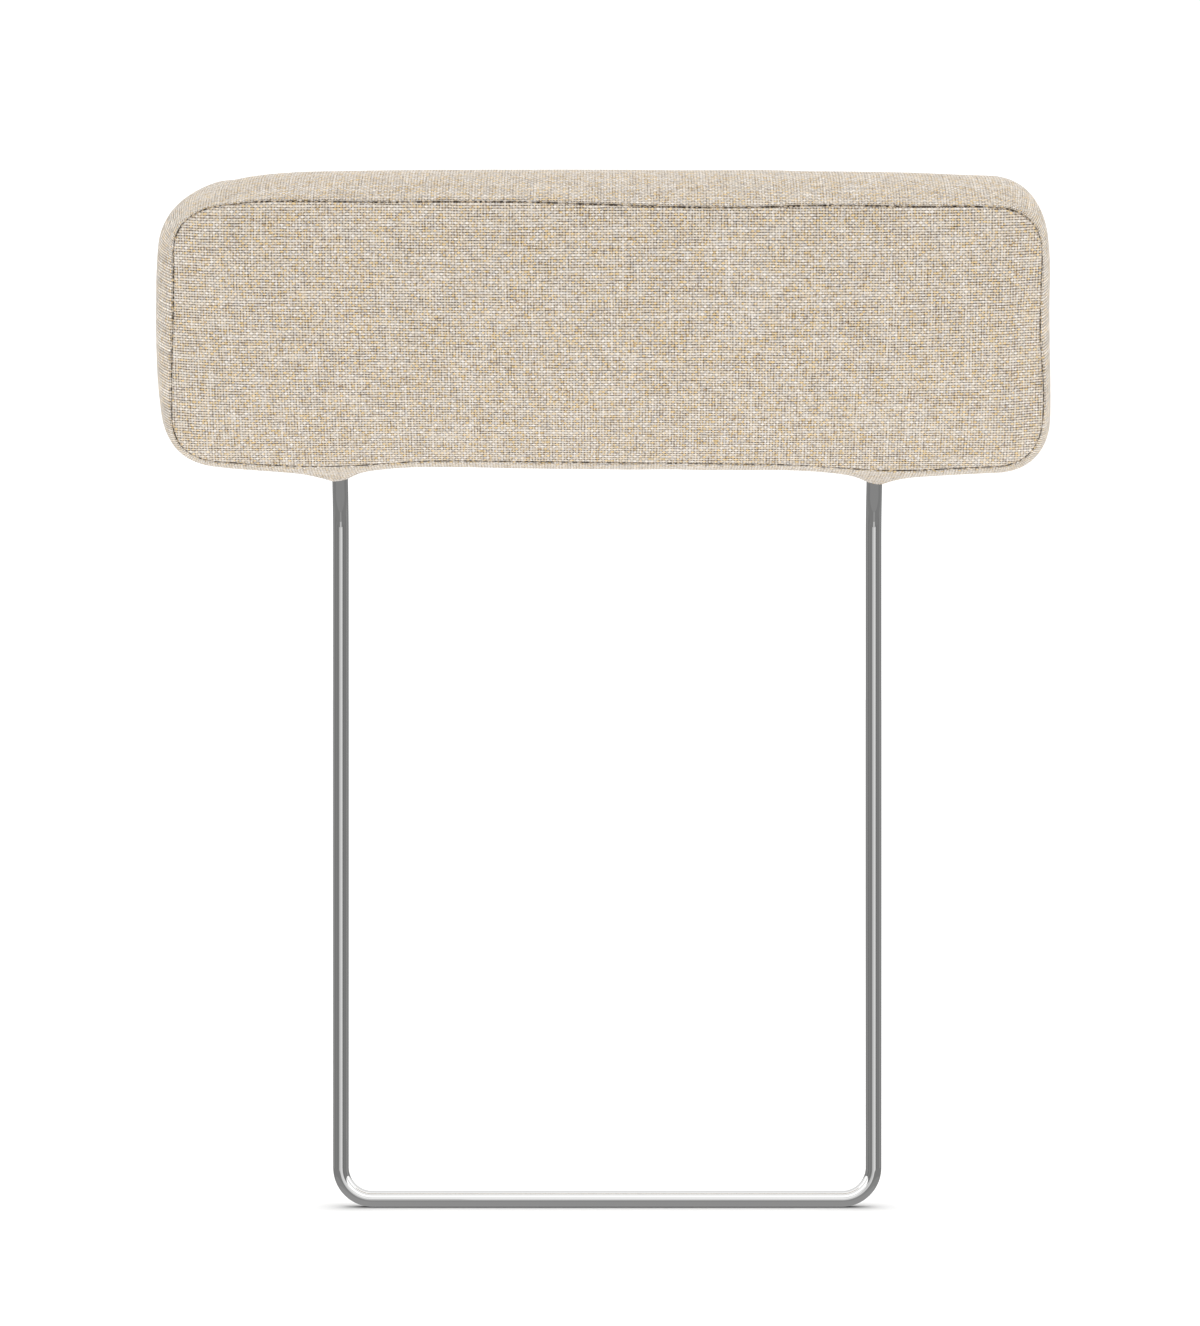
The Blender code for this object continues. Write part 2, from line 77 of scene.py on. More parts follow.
# Outlines in the cushion's own plane: x and height in millimetres, anticlockwise from the top right
FRONT_SEAM = (
    (288, 93.9), (262, 95.8), (230, 95.2), (191, 96.0), (150, 96.2), (105, 94.8), (60, 94.8), (-5, 96.9),
    (-60, 98.7), (-107, 99.1), (-171, 98.6), (-225, 99.5), (-262, 98.8), (-288, 94.8), (-303.4, 89.0),
    (-311.8, 81.5), (-316.5, 71.0), (-318.0, 55.0), (-318.6, 30.0), (-320.0, 5.0), (-322.4, -38.0),
    (-322.5, -66.0), (-318.8, -82.0), (-311.0, -90.2), (-299.0, -94.8), (-280.0, -97.2), (-245.0, -99.6),
    (-205.0, -100.2), (-175.0, -98.9), (-145.0, -96.6), (-110.0, -95.9), (-70.0, -96.4), (0.0, -97.3),
    (70.0, -98.0), (130.0, -98.8), (160.0, -100.6), (195.0, -102.8), (225.0, -103.2), (262.0, -101.4),
    (291.0, -99.6), (307.5, -95.8), (318.8, -82.5), (323.2, -60.0), (321.8, -28.0), (318.8, -3.0),
    (318.5, 30.0), (318.4, 58.0), (314.6, 78.0), (304.0, 89.2),
)
WIDEST_LINE = (
    (275.7, 107.6), (220, 109.8), (150, 111.4), (60, 111.9), (-60, 112.6), (-153, 112.1), (-227.5, 110.8),
    (-271.9, 105.5), (-301.8, 95.6), (-316.9, 88.6), (-325.6, 80.5), (-332.6, 64.8), (-335.6, 42.0),
    (-337.0, 15.0), (-338.0, -25.0), (-335.6, -66.0), (-329.0, -87.6), (-317.2, -101.1), (-303.0, -106.8),
    (-280.0, -110.0), (-240.0, -111.4), (-205.0, -111.3), (-148.0, -109.5), (-70.0, -110.3), (0.0, -111.2),
    (70.0, -111.1), (160.0, -112.3), (225.0, -115.6), (262.0, -114.1), (297.0, -112.9), (315.8, -106.5),
    (327.3, -94.2), (332.4, -74.0), (331.3, -30.0), (329.3, 15.0), (328.8, 54.0), (323.3, 79.0),
    (312.6, 97.0), (299.5, 104.8),
)

# Mesh of the cover: cells along a panel's sides, and distances from a seam in millimetres
CELLS_ACROSS = 100
CELLS_UP = 30
PANEL_INSETS = (0, 0.8, 2.4, 5, 9, 15, 22)
BOXING_STEPS = (0.8, 2.4, 5, 9, 15, 22, 31, 41, 52, 63, 73, 82, 89, 95, 99, 101.6, 103.2)

# Plain outline: steps in a corner and between its points; rounds of easing for the drawn outlines
CORNER_STEPS = 32
STRAIGHT_STEPS = 12
OUTLINE_ROUNDS = 4
REAR_ROUNDS = 60
REAR_SHARE = 0.5

# Fullness of the boxing's swell, and rounds of easing for a panel's crown
SWELL_POWER = 2.2
CROWN_ROUNDS = 30

# Seam in section, in millimetres: width of the valley, then place and width of the low ridge beside it
VALLEY_WIDTH = 0.9
RIDGE_PLACE = 3.0
RIDGE_WIDTH = 1.5
RIDGE_SHARE = 0.3

# Tube: steps in a bend, points round its outside and its bore, and least angle of an edge that stays sharp
BEND_STEPS = 20
TUBE_SIDES = 64
BORE_SIDES = 24
SHARP_ANGLE = math.radians(40)

# Pull of the legs on the underside: how far under the cushion's middle it starts, over what height it sets
# in, over what width it changes from a leg's inner to its outer side, and how it and the lip's slant fade
UNDERSIDE = 0.09
UNDERSIDE_FADE = 0.012
SIDE_CHANGE = 0.008
PULL_POWER = 1.2
SLANT_FADE = 0.012

# Soft dents in the filling: sizes of the large and small ones, the small ones' share of the large ones'
# height, and the millimetres beside a seam over which they set in
LARGE_DENT = 0.075
SMALL_DENT = 0.028
SMALL_DENT_SHARE = 0.45
DENT_FADE = 6

# Cloth simulation: width beside a seam that is pinned, number of frames, and the cloth's own properties
PINNED_WIDTH = 6 * MM
FRAMES = 20
CLOTH_PROPERTIES = {
    "quality": 5,
    "mass": 0.3,
    "tension_stiffness": 12,
    "compression_stiffness": 12,
    "bending_stiffness": 0.4,
    "air_damping": 3,
}

# Grid that a panel's cloth coordinates are measured on: half width, half height, cell and its most stretch
UV_REACH_X = 0.330
UV_REACH_Z = 0.108
UV_CELL = 0.006
MOST_STRETCH = 1.6

# Soft bends of the threads in a panel, across and upwards: amount, size and seed
THREAD_BENDS = ((0.0014, 0.16, 4), (0.0016, 0.19, 5))

# Places outside the cushion, from its middle, where rays start: in front of or behind a panel, and below
RAY_DEPTH = 0.2
RAY_HEIGHT = 0.3

# Where each piece of cloth lies in the endless weave
REAR_CLOTH = (3.1, 1.7)
BOXING_CLOTH = (7.3, 4.9)
COLLAR_CLOTH = 11.3

# Collars: points round a leg, rings, and radii of the lip and of the rim that is hidden in the cover
COLLAR_SIDES = 72
COLLAR_RINGS = 14
LIP_RADIUS = TUBE_RADIUS + 0.0003
LIP_ROUNDING = 0.0006
RIM_RADIUS = 0.019
RIM_DEPTH = 0.004

# Collars: crowding of the rings towards the lip, distance under the cover at the lip, rise from there to the
# rim, cloth taken up by the slope for each metre out, and heights of the lip's inside over its first ring
RING_CROWDING = 1.6
LIP_CLEARANCE = 0.00015
RIM_RISE = 0.0004
SLOPE_CLOTH = 0.4
LIP_INSIDE = (0.0102, 0.0002)


def slider(name, description, default, low, high, unit="NONE", precision=4):
    return bpy.props.FloatProperty(
        name=name, description=description, default=default, min=low, max=high, unit=unit, precision=precision
    )


def metres(name, description, default, low, high, precision=4):
    return slider(name, description, default, low, high, "LENGTH", precision)


class HeadrestCover(bpy.types.PropertyGroup):
    front_crown: metres("Front crown", "How far the front panel stands out", 0.015, 0.0, 0.05)
    rear_crown: metres("Rear crown", "How far the rear panel stands out", 0.011, 0.0, 0.05)
    crown_reach: metres("Crown reach", "Distance in from the seam where a panel is flat", 0.085, 0.02, 0.1)
    groove: metres("Seam groove", "Depth of the valley along a seam", 0.0016, 0.0, 0.005)
    unevenness: metres("Unevenness", "Height of the soft dents in the filling", 0.0007, 0.0, 0.005)
    pressure: slider("Filling pressure", "Pressure that plumps the cover in the simulation", 4.0, 0.0, 20.0)
    most_movement: metres("Most movement", "Furthest that the simulation may move a point", 0.004, 0.0, 0.03)


class HeadrestCollars(bpy.types.PropertyGroup):
    left_drop: metres("Left drop", "How far the cloth is drawn down at the left leg", 0.0117, 0.0, 0.03)
    right_drop: metres("Right drop", "How far the cloth is drawn down at the right leg", 0.0104, 0.0, 0.03)
    left_outer_fade: metres("Left outer fade", "Slope left of the left leg", 0.0224, 0.005, 0.1)
    left_inner_fade: metres("Left inner fade", "Slope right of the left leg", 0.0144, 0.005, 0.1)
    right_outer_fade: metres("Right outer fade", "Slope right of the right leg", 0.0152, 0.005, 0.1)
    right_inner_fade: metres("Right inner fade", "Slope left of the right leg", 0.0163, 0.005, 0.1)
    depth_fade: metres("Depth fade", "Slopes in front of and behind a leg", 0.020, 0.005, 0.1)
    slant: metres("Slant", "How much lower the lip is on its outer side", 0.0015, 0.0, 0.01)


class HeadrestStitches(bpy.types.PropertyGroup):
    spacing: metres("Stitch spacing", "Distance between stitches along a seam", 0.0038, 0.001, 0.02)
    length: metres("Stitch length", "Length of the thread that shows", 0.0024, 0.0005, 0.01)
    thickness: metres("Thread thickness", "Diameter of the seam's thread", 0.0010, 0.0002, 0.003)


class HeadrestTube(bpy.types.PropertyGroup):
    grey: slider("Reflectance", "How much light the plating returns", 0.62, 0.0, 1.0)
    roughness: slider("Roughness", "Roughness of the polished plating", 0.015, 0.0, 1.0)


class HeadrestCloth(bpy.types.PropertyGroup):
    warp_pitch: metres("Warp pitch", "Distance between upright threads", 0.00214, 0.0005, 0.01, 5)
    weft_pitch: metres("Weft pitch", "Distance between level threads", 0.00195, 0.0005, 0.01, 5)
    thread_height: metres("Thread height", "Relief of the weave", 0.00022, 0.0, 0.002, 5)
    brightness: slider("Brightness", "Factor on all thread colours", 0.768, 0.2, 2.0)
    fuzz: slider("Fuzz", "Pale sheen where the cloth is seen at a shallow angle", 0.25, 0.0, 1.0)


class HeadrestStage(bpy.types.PropertyGroup):
    camera_x: metres("Camera x", "Camera's place across", -0.0055, -1, 1)
    camera_distance: metres("Camera distance", "Camera's distance in front", 2.9, 0.5, 10)
    camera_height: metres("Camera height", "Camera's height", 0.413, 0, 3)
    lens: slider("Lens", "Focal length in millimetres", 103.66, 10, 300)
    world: slider("World light", "Strength of the even light from all round", 0.95, 0, 5)


# Shape helpers


def new_object(name, data):
    item = bpy.data.objects.new(name, data)
    bpy.context.scene.collection.objects.link(item)
    return item


def cushion_matrix():
    """Place and pitch of the cushion's own axes."""
    forward = CRANK_BEND_RADIUS * (1 - math.cos(PITCH))
    rise = CRANK_BEND_RADIUS * math.sin(PITCH)
    reach = LEG_ABOVE_CRANK + HALF_HEIGHT + BOXING_BULGE
    centre = Vector((0, -forward - reach * math.sin(PITCH), CRANK_HEIGHT + rise + reach * math.cos(PITCH)))
    return Matrix.Translation(centre) @ Matrix.Rotation(PITCH, 4, "X")


def to_world(points):
    matrix = np.array(cushion_matrix())
    return points @ matrix[:3, :3].T + matrix[:3, 3]


def closed_curve(points, per_span=40):
    """Smooth closed curve through the points."""
    p = np.array(points, float) * MM
    before, after, beyond = np.roll(p, 1, 0), np.roll(p, -1, 0), np.roll(p, -2, 0)
    t = (np.arange(per_span) / per_span)[None, :, None]
    p, before, after, beyond = (a[:, None, :] for a in (p, before, after, beyond))
    linear = (after - before) * t
    square = (2 * before - 5 * p + 4 * after - beyond) * t**2
    cube = (3 * p - before - 3 * after + beyond) * t**3
    return (p + 0.5 * (linear + square + cube)).reshape(-1, 2)


def evenly(line, count):
    """The line resampled at count equal steps, its last point left out."""
    steps = np.linalg.norm(np.diff(line, axis=0), axis=1)
    run = np.concatenate(([0], np.cumsum(steps)))
    at = np.arange(count) / count * run[-1]
    return np.stack([np.interp(at, run, line[:, k]) for k in range(line.shape[1])], axis=1)


def sided(curve):
    """A closed outline resampled from its top left corner: left side, underside, right side, top."""
    corners = [int(np.argmax(curve @ np.array(way))) for way in ((-1, 1), (-1, -1), (1, -1), (1, 1))]
    counts = (CELLS_UP, CELLS_ACROSS, CELLS_UP, CELLS_ACROSS)
    sides = []
    for k, count in enumerate(counts):
        start, end = corners[k], corners[(k + 1) % 4]
        if end <= start:
            end += len(curve)
        sides.append(evenly(curve[np.arange(start, end + 1) % len(curve)], count))
    return np.concatenate(sides)


def plain_seam():
    """The seam's even outline: a rounded rectangle."""
    points = []
    for quarter, (right, up) in enumerate(((1, 1), (-1, 1), (-1, -1), (1, -1))):
        centre = np.array((right * (HALF_WIDTH - CORNER_RADIUS), up * (HALF_HEIGHT - CORNER_RADIUS)))
        for i in range(CORNER_STEPS + 1):
            turn = math.pi / 2 * (quarter + i / CORNER_STEPS)
            points.append(centre + CORNER_RADIUS * np.array((math.cos(turn), math.sin(turn))))
    points = np.array(points)
    ahead = np.roll(points, -1, 0)
    parts = [points + (ahead - points) * k / STRAIGHT_STEPS for k in range(STRAIGHT_STEPS)]
    return np.stack(parts, axis=1).reshape(-1, 2)


def eased(values, rounds):
    """Closed run of values smoothed along itself."""
    for _ in range(rounds):
        values = 0.5 * values + 0.25 * (np.roll(values, 1, 0) + np.roll(values, -1, 0))
    return values


def outward(outline):
    """Unit normals of an anticlockwise outline."""
    along = eased(np.roll(outline, -1, 0) - np.roll(outline, 1, 0), 3)
    normal = np.stack([along[:, 1], -along[:, 0]], axis=1)
    return normal / np.linalg.norm(normal, axis=1)[:, None]


def outlines():
    """Front seam, widest line and rear seam, point by point."""
    plain = sided(plain_seam())
    front = plain + eased(sided(closed_curve(FRONT_SEAM)) - plain, OUTLINE_ROUNDS)
    middle = plain + eased(sided(closed_curve(WIDEST_LINE)) - plain, OUTLINE_ROUNDS)
    rear = plain + REAR_SHARE * eased(front - plain, REAR_ROUNDS)
    return front, middle, rear


def crown(distance, reach):
    inner = np.clip(distance / reach, 0, 1)
    return 1 - (1 - inner) ** 2


def nearest_on(outline, points):
    """Distance of each point from a closed outline, and the run along the outline to the nearest place."""
    start, step = outline[None], (np.roll(outline, -1, 0) - outline)[None]
    length = np.linalg.norm(step[0], axis=1)
    run = np.concatenate(([0], np.cumsum(length)))
    offset = points[:, None] - start
    along = np.clip((offset * step).sum(2) / (step**2).sum(2), 0, 1)
    away = np.linalg.norm(offset - along[..., None] * step, axis=2)
    best = away.argmin(1)
    row = np.arange(len(points))
    return away[row, best], run[best] + along[row, best] * length[best]


def filled(ring):
    """Points inside a four-sided ring, blended from its sides, as a grid that includes them."""
    a, b = CELLS_ACROSS, CELLS_UP
    closed = np.concatenate([ring, ring[:1]])
    left, under = closed[: b + 1], closed[b : b + a + 1]
    right, top = closed[b + a : 2 * b + a + 1][::-1], closed[2 * b + a :][::-1]
    s = (np.arange(a + 1) / a)[:, None, None]
    t = (np.arange(b + 1) / b)[None, :, None]
    across = (1 - s) * left[None] + s * right[None]
    upright = (1 - t) * top[:, None] + t * under[:, None]
    corners = (1 - s) * ((1 - t) * left[0] + t * left[-1]) + s * ((1 - t) * right[0] + t * right[-1])
    return across + upright - corners


def border_index(i, j):
    """Place on the ring of a grid's border point."""
    a, b = CELLS_ACROSS, CELLS_UP
    if i == 0:
        return j
    if j == b:
        return b + i
    if i == a:
        return b + a + (b - j)
    return (2 * b + 2 * a - i) % (2 * a + 2 * b)


class CoverMesh:
    """Points and faces of the cover, with each point's distance from its seam and each face's kind of panel.
    """

    def __init__(self, settings):
        self.settings = settings
        self.around = 2 * (CELLS_ACROSS + CELLS_UP)
        self.points, self.gap, self.faces, self.kinds = [], [], [], []
        front, middle, rear = outlines()
        self.front_ring = self.add_panel(front, -1, settings.front_crown)
        self.rear_ring = self.add_panel(rear, 1, settings.rear_crown)
        self.rings = self.add_boxing(front, middle, rear)
        self.points = np.array(self.points)
        self.gap = np.array(self.gap)

    def add_points(self, flat, depth, gap):
        first = len(self.points)
        depth = np.broadcast_to(depth, len(flat))
        gap = np.broadcast_to(gap, len(flat))
        self.points += [(x, y, z) for (x, z), y in zip(flat, depth)]
        self.gap += list(gap)
        return list(range(first, first + len(flat)))

    def add_band(self, low, high, kind, turned):
        n = self.around
        for i in range(n):
            j = (i + 1) % n
            face = (low[i], low[j], high[j], high[i])
            self.faces.append(face[::-1] if turned else face)
            self.kinds.append(kind)

    def add_panel(self, seam, side, height):
        """Rings in from the seam, then a grid whose height is eased so that no ridge shows at the corners."""
        reach = self.settings.crown_reach
        normal = outward(seam)
        rings = []
        for inset in PANEL_INSETS:
            ring = seam - normal * inset * MM
            depth = side * (HALF_DEPTH + height * crown(inset * MM, reach))
            rings.append(self.add_points(ring, depth, inset * MM))
        kind = "front" if side < 0 else "rear"
        for low, high in zip(rings, rings[1:]):
            self.add_band(low, high, kind, side > 0)
        grid = filled(ring)
        distance = nearest_on(seam, grid.reshape(-1, 2))[0].reshape(grid.shape[:2])
        rise = crown(distance, reach)
        for _ in range(CROWN_ROUNDS):
            rise[1:-1, 1:-1] = 0.25 * (rise[:-2, 1:-1] + rise[2:, 1:-1] + rise[1:-1, :-2] + rise[1:-1, 2:])
        index = np.zeros(grid.shape[:2], int)
        inner = self.add_points(
            grid[1:-1, 1:-1].reshape(-1, 2),
            side * (HALF_DEPTH + height * rise[1:-1, 1:-1].ravel()),
            distance[1:-1, 1:-1].ravel(),
        )
        index[1:-1, 1:-1] = np.array(inner).reshape(CELLS_ACROSS - 1, CELLS_UP - 1)
        for i in range(CELLS_ACROSS + 1):
            for j in range(CELLS_UP + 1):
                if i in (0, CELLS_ACROSS) or j in (0, CELLS_UP):
                    index[i, j] = rings[-1][border_index(i, j)]
        for i in range(CELLS_ACROSS):
            for j in range(CELLS_UP):
                face = (index[i, j], index[i, j + 1], index[i + 1, j + 1], index[i + 1, j])
                self.faces.append(tuple(int(k) for k in (face[::-1] if side > 0 else face)))
                self.kinds.append(kind)
        return rings[0]

    def add_boxing(self, front, middle, rear):
        """Band that swells from the front seam through the widest line to the rear seam."""
        swell = middle - (front + rear) / 2
        rings = [self.front_ring]
        for step in BOXING_STEPS:
            depth = step * MM - HALF_DEPTH
            share = 1 - abs(depth / HALF_DEPTH) ** SWELL_POWER
            mix = (depth / HALF_DEPTH + 1) / 2
            gap = min(step * MM, 2 * HALF_DEPTH - step * MM)
            rings.append(self.add_points(front * (1 - mix) + rear * mix + swell * share, depth, gap))
        rings.append(self.rear_ring)
        for low, high in zip(rings, rings[1:]):
            self.add_band(low, high, "boxing", True)
        return rings


def drawn_down(x, y, settings):
    """How far the underside is drawn down near the legs."""
    left = x < 0
    across = np.where(left, -x, x) - LEG_X
    away = np.hypot(across, y)
    drop = np.where(left, settings.left_drop, settings.right_drop)
    outer = np.where(left, settings.left_outer_fade, settings.right_outer_fade)
    inner = np.where(left, settings.left_inner_fade, settings.right_inner_fade)
    towards_outer = 0.5 + 0.5 * np.tanh(across / SIDE_CHANGE)
    beside = inner + (outer - inner) * towards_outer
    sideways = across**2 / np.maximum(away**2, 1e-9)
    fade = beside * sideways + settings.depth_fade * (1 - sideways)
    beyond = np.maximum(away - TUBE_RADIUS, 0)
    slant = settings.slant * np.tanh(across / SIDE_CHANGE) * np.exp(-beyond / SLANT_FADE)
    return drop * np.exp(-((beyond / fade) ** PULL_POWER)) + slant


def soft_noise(points, size, seed):
    shift = Vector((seed * 17.3, seed * 5.1, seed * 9.7))
    return np.array([noise.noise(Vector(p) / size + shift) for p in points])


def vertex_normals(points, faces):
    quads = points[np.array(faces)]
    normal = np.cross(quads[:, 2] - quads[:, 0], quads[:, 3] - quads[:, 1])
    total = np.zeros_like(points)
    for k in range(4):
        np.add.at(total, np.array(faces)[:, k], normal)
    return total / np.linalg.norm(total, axis=1)[:, None]


def shape_cover(cover, settings, collars):
    """Draws the underside down at the legs, presses the seams in and adds soft dents."""
    points = cover.points
    x, y, z = points.T
    lowness = np.clip((-z - UNDERSIDE) / UNDERSIDE_FADE, 0, 1)
    inwards = 1 - np.clip(np.abs(y) / HALF_DEPTH, 0, 1) ** 2
    z -= drawn_down(x, y, collars) * (lowness * inwards)
    normal = vertex_normals(points, cover.faces)
    gap = cover.gap / MM
    valley = -np.exp(-((gap / VALLEY_WIDTH) ** 2))
    ridge = RIDGE_SHARE * np.exp(-(((gap - RIDGE_PLACE) / RIDGE_WIDTH) ** 2))
    dents = soft_noise(points, LARGE_DENT, 1) + SMALL_DENT_SHARE * soft_noise(points, SMALL_DENT, 2)
    keep = np.clip(gap / DENT_FADE, 0, 1)
    lift = settings.groove * (valley + ridge) + settings.unevenness * dents * keep
    cover.points = points + normal * lift[:, None]


def plump(cover, settings):
    """Movement of each point in a cloth simulation under pressure, with the seams pinned and a cap on it."""
    mesh = bpy.data.meshes.new("cover under pressure")
    mesh.from_pydata(cover.points.tolist(), [], cover.faces)
    item = new_object("cover under pressure", mesh)
    pins = item.vertex_groups.new(name="seams")
    pins.add([int(i) for i in np.nonzero(cover.gap < PINNED_WIDTH)[0]], 1.0, "REPLACE")
    cloth = item.modifiers.new("pressure", "CLOTH")
    cloth.settings.vertex_group_mass = "seams"
    cloth.settings.use_pressure = True
    cloth.settings.uniform_pressure_force = settings.pressure
    cloth.settings.effector_weights.gravity = 0
    for name, value in CLOTH_PROPERTIES.items():
        setattr(cloth.settings, name, value)
    cloth.point_cache.frame_start = 1
    cloth.point_cache.frame_end = FRAMES
    scene = bpy.context.scene
    for number in range(1, FRAMES + 1):
        scene.frame_set(number)
    found = item.evaluated_get(bpy.context.evaluated_depsgraph_get()).data
    moved = np.zeros(len(found.vertices) * 3)
    found.vertices.foreach_get("co", moved)
    moved = moved.reshape(-1, 3) - cover.points
    scene.frame_set(1)
    bpy.data.objects.remove(item, do_unlink=True)
    length = np.linalg.norm(moved, axis=1)
    cap = settings.most_movement
    scale = np.where(length > 1e-9, cap * np.tanh(length / cap) / np.maximum(length, 1e-9), 0)
    return moved * scale[:, None]


def panel_uv(cover, side):
    """Cloth coordinates of a panel: run along the threads, so that they crowd where the panel curves away."""
    chosen = "front" if side < 0 else "rear"
    faces = [face for face, kind in zip(cover.faces, cover.kinds) if kind == chosen]
    tree = BVHTree.FromPolygons([Vector(p) for p in cover.points], faces)
    xs = np.arange(-UV_REACH_X, UV_REACH_X + 0.0001, UV_CELL)
    zs = np.arange(-UV_REACH_Z, UV_REACH_Z + 0.0001, UV_CELL)
    depth = np.full((len(xs), len(zs)), np.nan)
    for i, x in enumerate(xs):
        for j, z in enumerate(zs):
            hit = tree.ray_cast(Vector((x, side * RAY_DEPTH, z)), Vector((0, -side, 0)))[0]
            if hit:
                depth[i, j] = hit.y
    known = ~np.isnan(depth)
    depth = np.where(known, depth, side * HALF_DEPTH)
    stretch_x = np.sqrt(1 + (np.gradient(depth, xs, axis=0)) ** 2).clip(1, MOST_STRETCH)
    stretch_z = np.sqrt(1 + (np.gradient(depth, zs, axis=1)) ** 2).clip(1, MOST_STRETCH)
    u = np.cumsum(stretch_x, axis=0) * UV_CELL
    v = np.cumsum(stretch_z, axis=1) * UV_CELL
    u -= u[len(xs) // 2][None]
    v -= v[:, len(zs) // 2][:, None]
    x = np.clip((cover.points[:, 0] - xs[0]) / UV_CELL, 0, len(xs) - 1.001)
    z = np.clip((cover.points[:, 2] - zs[0]) / UV_CELL, 0, len(zs) - 1.001)
    i, j = x.astype(int), z.astype(int)
    fx, fz = x - i, z - j
    uv = []
    for table in (u, v):
        low = table[i, j] * (1 - fx) + table[i + 1, j] * fx
        high = table[i, j + 1] * (1 - fx) + table[i + 1, j + 1] * fx
        uv.append(low * (1 - fz) + high * fz)
    flat = cover.points * np.array((1, 0, 1))
    bends = [amount * soft_noise(flat, size, seed) for amount, size, seed in THREAD_BENDS]
    return np.stack(uv, axis=1) + np.stack(bends, axis=1)


def boxing_uv(cover):
    """Cloth coordinates of the boxing, round its widest line and back from the front seam, with its girth."""
    _, middle, _ = outlines()
    whole = np.linalg.norm(np.roll(middle, -1, 0) - middle, axis=1).sum()
    uv = np.zeros((len(cover.points), 2))
    back = np.zeros(cover.around)
    for k, ring in enumerate(cover.rings):
        if k:
            back = back + np.linalg.norm(cover.points[ring] - cover.points[cover.rings[k - 1]], axis=1)
        uv[ring, 0] = nearest_on(middle, cover.points[ring][:, (0, 2)])[1]
        uv[ring, 1] = back
    return uv, whole


def seam_run(cover):
    """Run of each point along the seam on its side of the boxing."""
    front, _, rear = outlines()
    run = np.zeros(len(cover.points))
    in_front = cover.points[:, 1] < 0
    for outline, chosen in ((front, in_front), (rear, ~in_front)):
        run[chosen] = nearest_on(outline, cover.points[chosen][:, (0, 2)])[1]
    return run


def unwrapped(run, whole):
    """Runs at a face's corners without the jump back to nought."""
    return [value + whole if max(run) - value > whole / 2 else value for value in run]


def write_uv(mesh, cover):
    """Gives the mesh the cloth's coordinates, and each corner's run along its seam and distance from it."""
    layer = mesh.uv_layers.new(name="weave")
    run_layer = mesh.uv_layers.new(name="seam")
    tables = {"front": panel_uv(cover, -1), "rear": panel_uv(cover, 1) + np.array(REAR_CLOTH)}
    band, whole = boxing_uv(cover)
    along_seam = seam_run(cover)
    for polygon, kind in zip(mesh.polygons, cover.kinds):
        corners = list(polygon.vertices)
        around = unwrapped([band[vertex][0] for vertex in corners], whole)
        seam = unwrapped([along_seam[vertex] for vertex in corners], whole)
        for loop, vertex, u, run in zip(polygon.loop_indices, corners, around, seam):
            if kind == "boxing":
                layer.data[loop].uv = (u + BOXING_CLOTH[0], band[vertex][1] + BOXING_CLOTH[1])
            else:
                layer.data[loop].uv = tables[kind][vertex]
            run_layer.data[loop].uv = (run, cover.gap[vertex])


def cover_object(cover, name):
    mesh = bpy.data.meshes.new(name)
    mesh.from_pydata(to_world(cover.points).tolist(), [], cover.faces)
    write_uv(mesh, cover)
    gap = mesh.attributes.new("seam_gap", "FLOAT", "POINT")
    gap.data.foreach_set("value", cover.gap.astype(np.float32))
    mesh.shade_smooth()
    item = new_object(name, mesh)
    smooth = item.modifiers.new("Subdivision", "SUBSURF")
    smooth.levels = smooth.render_levels = 1
    apply_modifiers(item)
    return item


def apply_modifiers(item):
    """Bakes an object's modifiers into its mesh."""
    bpy.context.view_layer.update()
    depsgraph = bpy.context.evaluated_depsgraph_get()
    evaluated = item.evaluated_get(depsgraph)
    mesh = bpy.data.meshes.new_from_object(evaluated, preserve_all_data_layers=True, depsgraph=depsgraph)
    item.modifiers.clear()
    item.data = mesh
    mesh.shade_smooth()


# Materials


